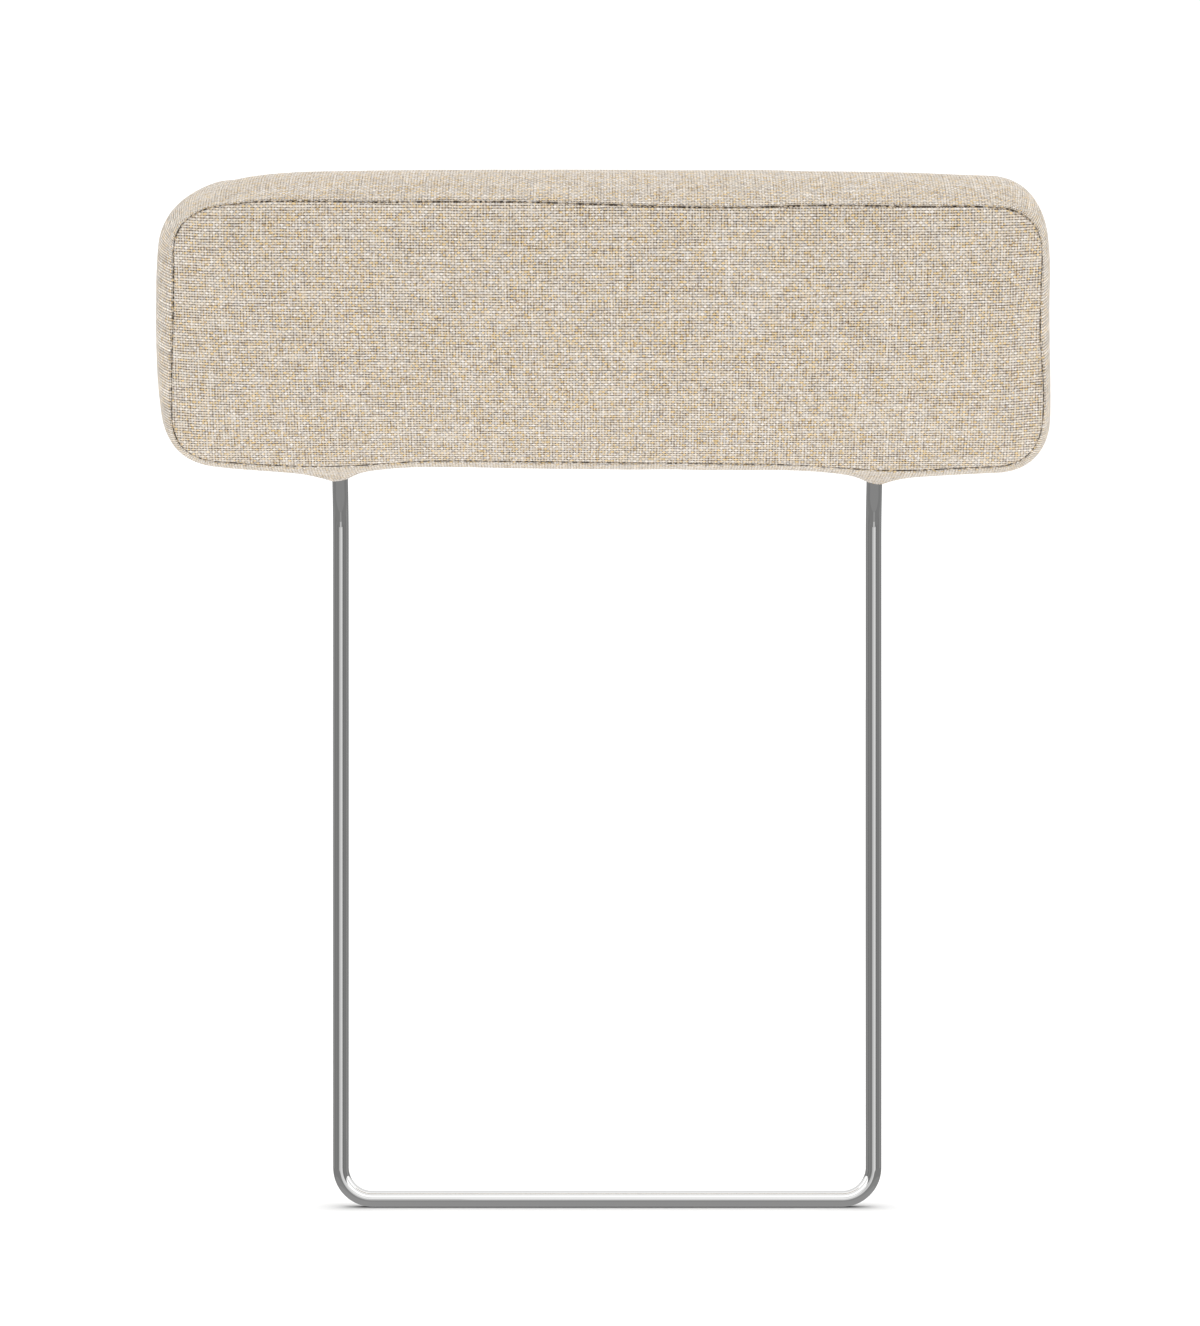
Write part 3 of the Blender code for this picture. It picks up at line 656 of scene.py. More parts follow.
class Graph:
    """Short ways to add nodes to a material."""

    def __init__(self, name):
        self.material = bpy.data.materials.new(name)
        self.material.use_nodes = True
        self.nodes = self.material.node_tree.nodes
        self.links = self.material.node_tree.links
        self.shader = self.nodes["Principled BSDF"]

    def put(self, socket, value):
        if isinstance(value, bpy.types.NodeSocket):
            self.links.new(value, socket)
        elif value is not None:
            socket.default_value = value

    def give(self, name, value):
        """Sets one of the shader's inputs."""
        self.put(self.shader.inputs[name], value)

    def math(self, operation, a, b=None, c=None):
        node = self.nodes.new("ShaderNodeMath")
        node.operation = operation
        for socket, value in zip(node.inputs, (a, b, c)):
            self.put(socket, value)
        return node.outputs[0]

    def times(self, a, b):
        return self.math("MULTIPLY", a, b)

    def point(self, x, y=0.0, z=0.0):
        node = self.nodes.new("ShaderNodeCombineXYZ")
        for socket, value in zip(node.inputs, (x, y, z)):
            self.put(socket, value)
        return node.outputs[0]

    def noise(self, where, scale, detail=2.0, roughness=0.5):
        node = self.nodes.new("ShaderNodeTexNoise")
        self.put(node.inputs["Vector"], where)
        self.put(node.inputs["Scale"], scale)
        node.inputs["Detail"].default_value = detail
        node.inputs["Roughness"].default_value = roughness
        return node.outputs["Fac"]

    def cell_noise(self, column, row, seed):
        """Random value for each whole column and row."""
        node = self.nodes.new("ShaderNodeTexWhiteNoise")
        node.noise_dimensions = "3D"
        self.put(node.inputs["Vector"], self.point(column, row, seed))
        return node.outputs["Value"]

    def ramp(self, value, stops, interpolation="LINEAR"):
        node = self.nodes.new("ShaderNodeValToRGB")
        band = node.color_ramp
        band.interpolation = interpolation
        while len(band.elements) < len(stops):
            band.elements.new(0.5)
        for element, (at, colour) in zip(band.elements, stops):
            element.position = at
            element.color = (*colour, 1)
        self.put(node.inputs["Fac"], value)
        return node.outputs["Color"]

    def blend(self, share, a, b, mode="MIX"):
        node = self.nodes.new("ShaderNodeMix")
        node.data_type = "RGBA"
        node.blend_type = mode
        self.put(node.inputs["Factor"], share)
        self.put(node.inputs["A"], a if isinstance(a, bpy.types.NodeSocket) else (*a, 1))
        self.put(node.inputs["B"], b if isinstance(b, bpy.types.NodeSocket) else (*b, 1))
        return node.outputs["Result"]

    def between(self, value, low, high, to_low=0.0, to_high=1.0):
        node = self.nodes.new("ShaderNodeMapRange")
        node.interpolation_type = "SMOOTHSTEP"
        for socket, given in zip(node.inputs, (value, low, high, to_low, to_high)):
            self.put(socket, given)
        return node.outputs[0]

    def two_tone(self, value, dark, pale):
        """Base colour from dark to pale, for a noise value round a half."""
        self.give("Base Color", self.ramp(value, ((0.3, dark), (0.7, pale))))

    def bump(self, height, distance):
        node = self.nodes.new("ShaderNodeBump")
        node.inputs["Distance"].default_value = distance
        node.inputs["Strength"].default_value = 1.0
        self.put(node.inputs["Height"], height)
        self.links.new(node.outputs[0], self.shader.inputs["Normal"])

    def object_place(self):
        return self.nodes.new("ShaderNodeTexCoord").outputs["Object"]


THREADS = {
    # "dark" is painted shade, for the deepest holes between the threads
    "dark": (0.050, 0.030, 0.018),
    "brown": (0.22, 0.15, 0.10),
    "tan": (0.54, 0.39, 0.25),
    "sand": (0.87, 0.65, 0.35),
    "grey": (0.70, 0.65, 0.60),
    "cream": (0.83, 0.73, 0.60),
    "white": (0.91, 0.85, 0.78),
}
# Colour of the painted shadow in a seam's groove
SEAM_PAINTED_SHADOW = (0.024, 0.016, 0.010)
THREAD_SOFTNESS = 0.18
SEAM_THREAD_STEP = 0.0019
WARP_COLOURS = ("sand", "cream", "grey", "white", "cream", "grey", "cream", "white")
WEFT_COLOURS = ("tan", "sand", "cream", "cream", "white", "cream", "sand", "cream", "grey", "sand")


def colour_steps(names):
    return [(k / len(names), THREADS[name]) for k, name in enumerate(names)]


def thread_mask(g, across, half_width):
    """One on a thread, nought beside it, from the distance to its middle."""
    inner = g.math("SUBTRACT", half_width, THREAD_SOFTNESS)
    outer = g.math("ADD", half_width, THREAD_SOFTNESS)
    return g.between(across, inner, outer, 1.0, 0.0)


def thread_colour(g, crossing, run, share, names):
    """Colour of a thread at a crossing: partly the crossing's own, partly in runs along the thread."""
    spread_run = g.math("MULTIPLY_ADD", run, 2.4, -0.7)
    own = g.times(crossing, share)
    pick = g.math("MULTIPLY_ADD", spread_run, 1 - share, own)
    return g.ramp(pick, colour_steps(names), "CONSTANT")


def painted_seam_shadow(g):
    """Painted shadow: a dark line at the bottom of a seam's groove, broken along its run."""
    gap = g.nodes.new("ShaderNodeAttribute")
    gap.attribute_name = "seam_gap"
    seam = g.nodes.new("ShaderNodeUVMap")
    seam.uv_map = "seam"
    split = g.nodes.new("ShaderNodeSeparateXYZ")
    g.links.new(seam.outputs[0], split.inputs[0])
    run = split.outputs[0]
    wave = g.noise(g.point(g.times(run, 75.0), 0.0, 2.0), 1.0, 2.0, 0.6)
    dashes = g.between(wave, 0.36, 0.58, 0.60, 1.0)
    thread = g.math("FLOOR", g.times(run, 1.0 / SEAM_THREAD_STEP))
    breaks = g.between(g.cell_noise(thread, 0.0, 7.0), 0.10, 0.50, 0.30, 1.0)
    line = g.between(gap.outputs["Fac"], 0.0004, 0.0015, 1.0, 0.0)
    return g.times(line, g.times(dashes, breaks))


def stretch_noise(g, number, run, per_metre, seed):
    """Random value for each stretch of a thread or gap; every one has its stretches at other places."""
    offset = g.times(g.cell_noise(number, 0.0, seed), 7.0)
    stretch = g.math("FLOOR", g.math("MULTIPLY_ADD", run, per_metre, offset))
    return g.cell_noise(number, stretch, seed + 0.5)


def spread(g, value, width, middle):
    """The value's deviation from a half, scaled and added to a middle."""
    return g.math("MULTIPLY_ADD", value, width, g.math("SUBTRACT", middle, width / 2))


class Weave(Graph):
    """Graph with the cloth's own coordinates, counted in upright (warp) and level (weft) threads."""

    def __init__(self, settings):
        super().__init__("melange_cloth_look")
        uv = self.nodes.new("ShaderNodeUVMap")
        uv.uv_map = "weave"
        split = self.nodes.new("ShaderNodeSeparateXYZ")
        self.uv = uv.outputs[0]
        self.links.new(self.uv, split.inputs[0])
        self.u, self.v = split.outputs[0], split.outputs[1]
        wander_u = spread(self, self.noise(self.uv, 90.0, 2.0), 0.0008, 0.0)
        wander_v = spread(self, self.noise(self.point(self.v, self.u, 3.0), 60.0, 2.0), 0.0008, 0.0)
        self.warp = self.math("DIVIDE", self.math("ADD", self.u, wander_u), settings.warp_pitch)
        self.weft = self.math("DIVIDE", self.math("ADD", self.v, wander_v), settings.weft_pitch)
        self.warp_number, self.weft_number = self.math("FLOOR", self.warp), self.math("FLOOR", self.weft)
        self.gap_column, self.gap_row = self.math("ROUND", self.warp), self.math("ROUND", self.weft)
        self.across_warp, self.across_weft = self.from_middle(self.warp), self.from_middle(self.weft)
        self.weft_over = self.math("PINGPONG", self.math("ADD", self.warp_number, self.weft_number), 1.0)

    def from_middle(self, count):
        """Nought in a thread's middle, one halfway to the next."""
        return self.math("ABSOLUTE", self.math("MULTIPLY_ADD", self.math("FRACT", count), 2.0, -1.0))

    def crossing_noise(self, seed):
        return self.cell_noise(self.warp_number, self.weft_number, seed)

    def hole_noise(self, seed):
        return self.cell_noise(self.gap_column, self.gap_row, seed)


def lay_threads(w):
    """Threads of uneven width, and where the warp lies on top."""
    w.warp_stretch = stretch_noise(w, w.warp_number, w.v, 35.0, 43.0)
    w.weft_stretch = stretch_noise(w, w.weft_number, w.u, 35.0, 44.0)
    on_warp = w.point(w.times(w.warp_number, 7.31), w.times(w.v, 90.0), 1.0)
    on_weft = w.point(w.times(w.u, 220.0), w.times(w.weft_number, 5.77), 9.0)
    w.warp_run, w.weft_run = w.noise(on_warp, 1.0, 2.0), w.noise(on_weft, 1.0, 2.0)
    warp_width = spread(w, w.warp_run, 0.35, spread(w, w.warp_stretch, 0.20, 0.50))
    weft_width = spread(w, w.weft_run, 0.31, spread(w, w.weft_stretch, 0.17, 0.64))
    w.warp_mask = thread_mask(w, w.across_warp, warp_width)
    w.weft_mask = thread_mask(w, w.across_weft, weft_width)
    reach = w.between(w.across_weft, 0.70, 0.95, 1.0, 0.0)
    warp_over = w.math("SUBTRACT", 1.0, w.weft_over)
    w.warp_on_top = w.times(w.times(w.warp_mask, reach), warp_over)


def open_gaps(w):
    """Gaps that open along rows and columns and show the holes' painted shade as short dark lines."""
    w.row_line = w.between(stretch_noise(w, w.gap_row, w.u, 110.0, 93.0), 0.72, 0.95)
    column_line = w.between(stretch_noise(w, w.gap_column, w.v, 110.0, 94.0), 0.72, 0.95)
    row_edge = w.times(w.row_line, w.between(w.across_weft, 0.2, 0.7, 0.0, 0.20))
    column_edge = w.times(column_line, w.between(w.across_warp, 0.45, 0.95, 0.0, 0.45))
    cover = w.times(w.weft_mask, w.math("SUBTRACT", 1.0, row_edge))
    w.weft_cover = w.times(cover, w.math("SUBTRACT", 1.0, column_edge))


def woven_colour(w):
    """Colour of each crossing, from the holes up to the thread on top; the holes and the warp that shows
    between wefts carry painted shade.
    """
    warp_colour = thread_colour(w, w.crossing_noise(5.0), w.warp_run, 0.75, WARP_COLOURS)
    weft_colour = thread_colour(w, w.crossing_noise(8.0), w.weft_run, 0.60, WEFT_COLOURS)
    # Painted shade in the holes between the threads: dark where a hole is deep, tan where it is shallow
    hole = w.math("POWER", w.hole_noise(31.0), 2.0)
    colour = w.blend(w.times(hole, 0.75), THREADS["dark"], THREADS["tan"])
    bridge = w.between(w.cell_noise(w.warp_number, w.gap_row, 33.0), -0.3, 0.6, 0.0, 0.90)
    bridge = w.times(bridge, w.math("MULTIPLY_ADD", w.row_line, -0.6, 1.0))
    # Painted shade on the warp where it shows between the wefts
    shaded_warp = w.blend(1.0, warp_colour, (0.90, 0.90, 0.90), "MULTIPLY")
    colour = w.blend(w.times(w.warp_mask, bridge), colour, shaded_warp)
    colour = w.blend(w.weft_cover, colour, weft_colour)
    colour = w.blend(w.warp_on_top, colour, warp_colour)
    pale_weft = w.times(w.weft_mask, w.between(w.weft_stretch, 0.80, 0.92, 0.0, 0.40))
    colour = w.blend(pale_weft, colour, THREADS["white"])
    pale_warp = w.times(w.warp_mask, w.between(w.warp_stretch, 0.84, 0.95, 0.0, 0.32))
    return w.blend(pale_warp, colour, THREADS["white"])


def flecked(w, colour):
    """Brown flecks where four threads meet."""
    away_x = w.times(w.math("SUBTRACT", w.warp, w.gap_column), 2.0)
    away_y = w.times(w.math("SUBTRACT", w.weft, w.gap_row), 2.0)
    away = w.math("SQRT", w.math("MULTIPLY_ADD", away_x, away_x, w.times(away_y, away_y)))
    fleck = w.between(w.hole_noise(77.0), 0.80, 0.95, 0.0, 0.5)
    return w.blend(w.times(fleck, w.between(away, 0.5, 1.3, 1.0, 0.0)), colour, THREADS["brown"])


def end_tone_and_painted_light(w):
    """Tone of the threads on the boxing's two ends: each thread's own random tone, raised as painted light on
    it, with painted shade between the threads.
    """
    place = w.nodes.new("ShaderNodeSeparateXYZ")
    w.links.new(w.object_place(), place.inputs[0])
    ends = w.between(w.math("ABSOLUTE", place.outputs[0]), 0.300, 0.325)
    on_ends = w.times(ends, w.math("GREATER_THAN", w.v, 4.0))
    # Each thread's own random tone, always above nought, so it also paints light along the thread
    own_tone_and_painted_light = spread(w, w.cell_noise(w.warp_number, 0.0, 71.0), 0.28, 0.20)
    # Painted shade between the threads on the ends
    painted_light_and_shade = w.math("SUBTRACT", own_tone_and_painted_light, w.between(w.across_warp, 0.35, 1.0, 0.0, 0.62))
    return w.math("MULTIPLY_ADD", painted_light_and_shade, on_ends, 1.0)


def woven_tone(w, brightness):
    """Tone of soft clouds, of each crossing, and of the boxing's ends with painted light on their threads and
    painted shade between them.
    """
    clouds = w.between(w.noise(w.uv, 25.0, 3.0, 0.6), 0.25, 0.75, 0.98, 1.02)
    checker = spread(w, w.weft_over, 0.20 * brightness, brightness)
    crossing_tone = spread(w, w.crossing_noise(61.0), 0.12, checker)
    return w.times(w.times(clouds, end_tone_and_painted_light(w)), crossing_tone)


def weave_material(settings):
    """Plain weave of mixed threads with painted shade in the gaps between them and painted shadow along the
    seams.
    """
    w = Weave(settings)
    lay_threads(w)
    open_gaps(w)
    tone = woven_tone(w, settings.brightness)
    colour = w.blend(1.0, flecked(w, woven_colour(w)), w.point(tone, tone, tone), "MULTIPLY")
    # Painted shadow along the seams, laid over the woven colour
    w.give("Base Color", w.blend(painted_seam_shadow(w), colour, SEAM_PAINTED_SHADOW))
    w.give("Roughness", 0.92)
    w.give("Specular IOR Level", 0.2)
    w.give("Sheen Weight", settings.fuzz)
    w.give("Sheen Roughness", 0.4)
    height = w.math("MAXIMUM", w.times(w.weft_mask, 0.75), w.warp_on_top)
    w.bump(w.math("MULTIPLY_ADD", w.noise(w.uv, 1500.0, 1.0), 0.25, height), settings.thread_height)
    return w.material


def chrome_material(settings):
    g = Graph("bright_steel_look")
    place = g.object_place()
    grey = settings.grey
    tone = g.between(g.noise(place, 6.0, 3.0), 0.3, 0.7, grey * 0.985, grey)
    g.give("Base Color", g.point(tone, tone, g.times(tone, 0.995)))
    g.give("Metallic", 1.0)
    spots = g.noise(place, 140.0, 3.0)
    rough = settings.roughness
    g.give("Roughness", g.between(spots, 0.35, 0.75, rough * 0.8, rough * 1.3))
    return g.material


def plywood_material():
    """Face veneer with long grain, and stripes of plies where the board is cut."""
    g = Graph("plywood_look")
    place = g.object_place()
    split = g.nodes.new("ShaderNodeSeparateXYZ")
    g.links.new(place, split.inputs[0])
    along = g.times(split.outputs[0], 4.0)
    across = g.times(split.outputs[2], 60.0)
    grain = g.noise(g.point(along, split.outputs[1], across), 3.0, 6.0, 0.65)
    wood = g.ramp(grain, ((0.30, (0.42, 0.26, 0.13)), (0.55, (0.66, 0.46, 0.27)), (0.75, (0.74, 0.56, 0.36))))
    plies = g.math("FRACT", g.times(split.outputs[1], 480.0))
    wood = g.blend(g.between(plies, 0.42, 0.58, 0.0, 0.35), wood, (0.30, 0.17, 0.08))
    g.give("Base Color", wood)
    g.give("Roughness", 0.7)
    g.bump(grain, 0.0003)
    return g.material


def zinc_material():
    g = Graph("zinc_plate_look")
    place = g.object_place()
    spangle = g.noise(place, 420.0, 3.0)
    g.two_tone(spangle, (0.46, 0.47, 0.49), (0.64, 0.65, 0.66))
    g.give("Metallic", 1.0)
    g.give("Roughness", g.between(spangle, 0.3, 0.7, 0.28, 0.44))
    return g.material


def plastic_material():
    g = Graph("black_plastic_look")
    grain = g.noise(g.object_place(), 900.0, 2.0)
    g.two_tone(grain, (0.022, 0.022, 0.023), (0.035, 0.035, 0.036))
    g.give("Roughness", 0.5)
    g.bump(grain, 0.0001)
    return g.material


def thread_material():
    g = Graph("seam_thread_look")
    twist = g.noise(g.object_place(), 900.0, 2.0)
    g.two_tone(twist, (0.42, 0.30, 0.18), (0.72, 0.58, 0.40))
    g.give("Roughness", 0.85)
    return g.material


# Pieces


def sweep_tube(path, radius, sides):
    steps = [(b - a).normalized() for a, b in zip(path, path[1:])]
    tangents = [steps[0], *[(a + b).normalized() for a, b in zip(steps, steps[1:])], steps[-1]]
    across = Vector((1, 0, 0))
    rings = []
    for point, tangent in zip(path, tangents):
        across = (across - across.dot(tangent) * tangent).normalized()
        along = tangent.cross(across)
        turns = [2 * math.pi * i / sides for i in range(sides)]
        rings.append([point + radius * (math.cos(a) * across + math.sin(a) * along) for a in turns])
    return rings


def half_path(side):
    """Centreline of one leg, from its end inside the cushion down to the bottom bar."""
    x = side * LEG_X
    lean = Vector((0, -math.sin(PITCH), math.cos(PITCH)))
    crank = []
    for i in range(BEND_STEPS + 1):
        turn = PITCH * (1 - i / BEND_STEPS)
        forward = CRANK_BEND_RADIUS * (1 - math.cos(turn))
        crank.append(Vector((x, -forward, CRANK_HEIGHT + CRANK_BEND_RADIUS * math.sin(turn))))
    corner = []
    for i in range(BEND_STEPS + 1):
        turn = math.pi / 2 * i / BEND_STEPS
        sink = CORNER_BEND_RADIUS * math.sin(turn)
        inset = CORNER_BEND_RADIUS * (1 - math.cos(turn))
        corner.append(Vector((x - side * inset, 0, TUBE_RADIUS + CORNER_BEND_RADIUS - sink)))
    return [crank[0] + lean * (LEG_ABOVE_CRANK + LEG_INSERTED), *crank, *corner]


def build_tube(settings):
    path = [*half_path(-1), *reversed(half_path(1))]
    outside = sweep_tube(path, TUBE_RADIUS, TUBE_SIDES)
    inside = sweep_tube(path, TUBE_RADIUS - TUBE_WALL, BORE_SIDES)
    bm = bmesh.new()
    loops = [[bm.verts.new(p) for p in ring] for ring in outside]
    bores = [[bm.verts.new(p) for p in ring] for ring in inside]
    for rings in (loops, bores):
        for low, high in zip(rings, rings[1:]):
            for i in range(len(low)):
                j = (i + 1) % len(low)
                bm.faces.new((low[i], low[j], high[j], high[i]))
    for end in (0, -1):
        pairs = [pair for ring in (loops[end], bores[end]) for pair in zip(ring, ring[1:] + ring[:1])]
        bmesh.ops.bridge_loops(bm, edges=[bm.edges.get(pair) for pair in pairs])
    bmesh.ops.recalc_face_normals(bm, faces=bm.faces)
    mesh = bpy.data.meshes.new("frame_tube")
    bm.to_mesh(mesh)
    bm.free()
    mesh.shade_smooth()
    mesh.set_sharp_from_angle(angle=SHARP_ANGLE)
    item = new_object("frame_tube", mesh)
    mesh.materials.append(chrome_material(settings))
    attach(item, "root")
    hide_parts("u_frame")


def build_cover(context):
    settings = context.scene.headrest_cover
    cover = CoverMesh(settings)
    shape_cover(cover, settings, context.scene.headrest_collars)
    cover.points = cover.points + plump(cover, settings)
    item = cover_object(cover, "headrest_cover")
    item.data.materials.append(weave_material(context.scene.headrest_cloth))
    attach(item, "root")
    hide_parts("cover_front", "cover_boxing", "cover_rear", "wadding_wrap", "foam_front", "foam_rear")
    return cover


def ring_round_leg(side, radius):
    turns = [2 * math.pi * i / COLLAR_SIDES for i in range(COLLAR_SIDES)]
    return [(side * LEG_X + radius * math.cos(turn), radius * math.sin(turn)) for turn in turns]


def collar_rings(side, tree):
    """Rings of points with cloth coordinates: down inside the lip, then under the cover out to the rim."""
    rows = []
    for k in range(COLLAR_RINGS + 1):
        share = (k / COLLAR_RINGS) ** RING_CROWDING
        out = LIP_RADIUS + LIP_ROUNDING + (RIM_RADIUS - LIP_RADIUS) * share
        drop = LIP_ROUNDING * (1 - share) ** 3 - RIM_RISE * share + LIP_CLEARANCE
        row = []
        for x, y in ring_round_leg(side, out):
            hit = tree.ray_cast(Vector((x, y, -RAY_HEIGHT)), Vector((0, 0, 1)))[0]
            row.append((Vector((x, y, hit.z - drop)), (x + COLLAR_CLOTH, y + out * SLOPE_CLOTH)))
        rows.append(row)
    inner = []
    for rise in LIP_INSIDE:
        ring = []
        for (x, y), (low, _) in zip(ring_round_leg(side, LIP_RADIUS), rows[0]):
            place = Vector((x, y, low.z + rise))
            ring.append((place, (place.x + COLLAR_CLOTH, place.y)))
        inner.append(ring)
    hidden = [(edge + Vector((0, 0, RIM_DEPTH)), uv) for edge, uv in rows[-1]]
    return [*inner, *rows, hidden]


def build_collar(name, side, cover_item):
    """Cloth drawn down round a leg; its rim runs into the cover's underside."""
    matrix = cushion_matrix()
    inverse = matrix.inverted()
    points = [inverse @ v.co for v in cover_item.data.vertices]
    tree = BVHTree.FromPolygons(points, [tuple(p.vertices) for p in cover_item.data.polygons])
    rings = collar_rings(side, tree)
    bm = bmesh.new()
    layer = bm.loops.layers.uv.new("weave")
    verts = [[bm.verts.new(matrix @ place) for place, _ in ring] for ring in rings]
    for r in range(len(rings)):
        following = (r + 1) % len(rings)
        for i in range(COLLAR_SIDES):
            j = (i + 1) % COLLAR_SIDES
            corners = ((r, i), (r, j), (following, j), (following, i))
            face = bm.faces.new([verts[a][b] for a, b in corners])
            face.smooth = True
            for loop, (a, b) in zip(face.loops, corners):
                loop[layer].uv = rings[a][b][1]
    bmesh.ops.recalc_face_normals(bm, faces=bm.faces)
    mesh = bpy.data.meshes.new(name)
    bm.to_mesh(mesh)
    bm.free()
    gap = mesh.attributes.new("seam_gap", "FLOAT", "POINT")
    gap.data.foreach_set("value", np.full(len(mesh.vertices), 1.0, np.float32))
    mesh.materials.append(cover_item.data.materials[0])
    item = new_object(name, mesh)
    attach(item, "root")


def stitch_tree(settings, material):
    """Geometry Nodes for short threads along a seam's line, and the values of its inputs by identifier."""
    tree = bpy.data.node_groups.new("Seam stitches", "GeometryNodeTree")
    tree.interface.new_socket("Geometry", in_out="INPUT", socket_type="NodeSocketGeometry")
    tree.interface.new_socket("Geometry", in_out="OUTPUT", socket_type="NodeSocketGeometry")
    given = (("Spacing", settings.spacing), ("Length", settings.length), ("Thickness", settings.thickness))
    values = {}
    for name, value in given:
        socket = tree.interface.new_socket(name, in_out="INPUT", socket_type="NodeSocketFloat")
        values[socket.identifier] = value
    add, link = tree.nodes.new, tree.links.new
    start, end = add("NodeGroupInput"), add("NodeGroupOutput")
    curve = add("GeometryNodeMeshToCurve")
    link(start.outputs[0], curve.inputs[0])
    spaced = add("GeometryNodeCurveToPoints")
    spaced.mode = "LENGTH"
    link(curve.outputs[0], spaced.inputs["Curve"])
    link(start.outputs["Spacing"], spaced.inputs["Length"])
    thread = add("GeometryNodeMeshUVSphere")
    thread.inputs["Segments"].default_value = 8
    thread.inputs["Rings"].default_value = 6
    thread.inputs["Radius"].default_value = 0.5
    size = add("ShaderNodeCombineXYZ")
    link(start.outputs["Thickness"], size.inputs[0])
    link(start.outputs["Thickness"], size.inputs[1])
    link(start.outputs["Length"], size.inputs[2])
    placed = add("GeometryNodeInstanceOnPoints")
    link(spaced.outputs["Points"], placed.inputs["Points"])
    link(thread.outputs["Mesh"], placed.inputs["Instance"])
    link(spaced.outputs["Rotation"], placed.inputs["Rotation"])
    varied = add("FunctionNodeRandomValue")
    varied.data_type = "FLOAT"
    varied.inputs[2].default_value = 0.55
    varied.inputs[3].default_value = 1.25
    varied.inputs["Seed"].default_value = 7
    stretch = add("ShaderNodeVectorMath")
    stretch.operation = "SCALE"
    link(size.outputs[0], stretch.inputs[0])
    link(varied.outputs[1], stretch.inputs["Scale"])
    link(stretch.outputs[0], placed.inputs["Scale"])
    real = add("GeometryNodeRealizeInstances")
    link(placed.outputs[0], real.inputs[0])
    coloured = add("GeometryNodeSetMaterial")
    coloured.inputs["Material"].default_value = material
    link(real.outputs[0], coloured.inputs["Geometry"])
    link(coloured.outputs[0], end.inputs[0])
    return tree, values


def build_stitches(cover, settings):
    """Thread that shows in both seams."""
    points, edges = [], []
    for ring, side in ((cover.front_ring, -1), (cover.rear_ring, 1)):
        line = cover.points[ring]
        first = len(points)
        points += to_world(line).tolist()
        edges += [(first + i, first + (i + 1) % len(line)) for i in range(len(line))]
    mesh = bpy.data.meshes.new("seam_stitches")
    mesh.from_pydata(points, edges, [])
    item = new_object("seam_stitches", mesh)
    tree, values = stitch_tree(settings, thread_material())
    modifier = item.modifiers.new("Stitches", "NODES")
    modifier.node_group = tree
    for identifier, value in values.items():
        modifier[identifier] = value
    apply_modifiers(item)
    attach(item, "root")


def dress_fittings():
    """Materials of the CAD pieces that stay as they are."""
    looks = {
        "core_board": plywood_material(),
        "tube_plug": plastic_material(),
        "saddle_clip": zinc_material(),
    }
    looks["clip_screw"] = looks["saddle_clip"]
    for node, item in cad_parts.items():
        for start, look in looks.items():
            if node.startswith(start):
                item.data.materials.clear()
                item.data.materials.append(look)


# Stage


FLOOR_REACH = 40
SHADOW_REACH = 0.045
FLOOR_GLOW_SEEN = 0.18
FLOOR_GLOW_FELT = 0.42
BACKDROP_SEEN = 1.2
AIM = (0, 0, 0.6)

# Name, place, size and power of each lamp
LAMPS = (
    ("key", (1.5, -1.6, 2.2), (1.6, 1.2), 6),
    ("top", (0, 0.1, 2.4), (2.0, 1.2), 12.3),
    ("left", (-2.2, -0.5, 0.7), (1.2, 1.2), 2.0),
    ("right", (2.2, -0.5, 0.7), (1.2, 1.2), 0.9),
)


def floor_material():
    """White floor, darker where something stands close over it."""
    g = Graph("floor_look")
    g.nodes.remove(g.shader)
    closed_in = g.nodes.new("ShaderNodeAmbientOcclusion")
    closed_in.samples = 16
    closed_in.inputs["Distance"].default_value = SHADOW_REACH
    open_share = g.math("POWER", closed_in.outputs["AO"], 1.2)
    level = g.times(open_share, 0.9)
    diffuse = g.nodes.new("ShaderNodeBsdfDiffuse")
    g.links.new(g.point(level, level, level), diffuse.inputs["Color"])
    glow = g.nodes.new("ShaderNodeEmission")
    path = g.nodes.new("ShaderNodeLightPath")
    strength = g.nodes.new("ShaderNodeMix")
    g.links.new(path.outputs["Is Camera Ray"], strength.inputs["Factor"])
    strength.inputs["A"].default_value = FLOOR_GLOW_FELT
    g.links.new(g.times(open_share, FLOOR_GLOW_SEEN), strength.inputs["B"])
    g.put(glow.inputs["Strength"], strength.outputs["Result"])
    added = g.nodes.new("ShaderNodeAddShader")
    g.links.new(diffuse.outputs[0], added.inputs[0])
    g.links.new(glow.outputs[0], added.inputs[1])
    g.links.new(added.outputs[0], g.nodes["Material Output"].inputs[0])
    return g.material


# What polished steel sees: upper limit of each band in degrees, and its brightness.
# By elevation below and in front, by azimuth at eye level, and by the angle from straight ahead in the roof.
FLOOR_BANDS = ((-34, 0.43), (-20, 0.37))
FRONT_BANDS = ((-13, 0.45), (-9, 0.80), (12, 1.30))
LEVEL_BANDS = (
    (-164, 1.00), (-112, 0.33), (-88, 0.38), (-68, 0.26), (-52, 0.35), (-36, 0.27), (-22, 0.32), (-2, 0.80),
    (26, 1.05), (52, 0.27), (70, 0.31), (88, 0.28), (112, 0.41), (164, 0.32), (180, 1.00),
)
ROOF_BANDS = ((19, 1.60), (26, 0.90), (60, 1.75), (72, 1.00), (107, 1.75), (150, 1.15), (180, 0.80))
LOW_SIDES = 0.31

# Elevations where those parts meet, then the pale panel's azimuth and its half width over and under eye level
FLOOR_TOP = -20
LOW_TOP = -9
PANEL_FOOT = 5
ROOF_FOOT = 12
PANEL_MIDDLE = 2
PANEL_HALF_WIDTH = 24
LOW_HALF_WIDTH = 13

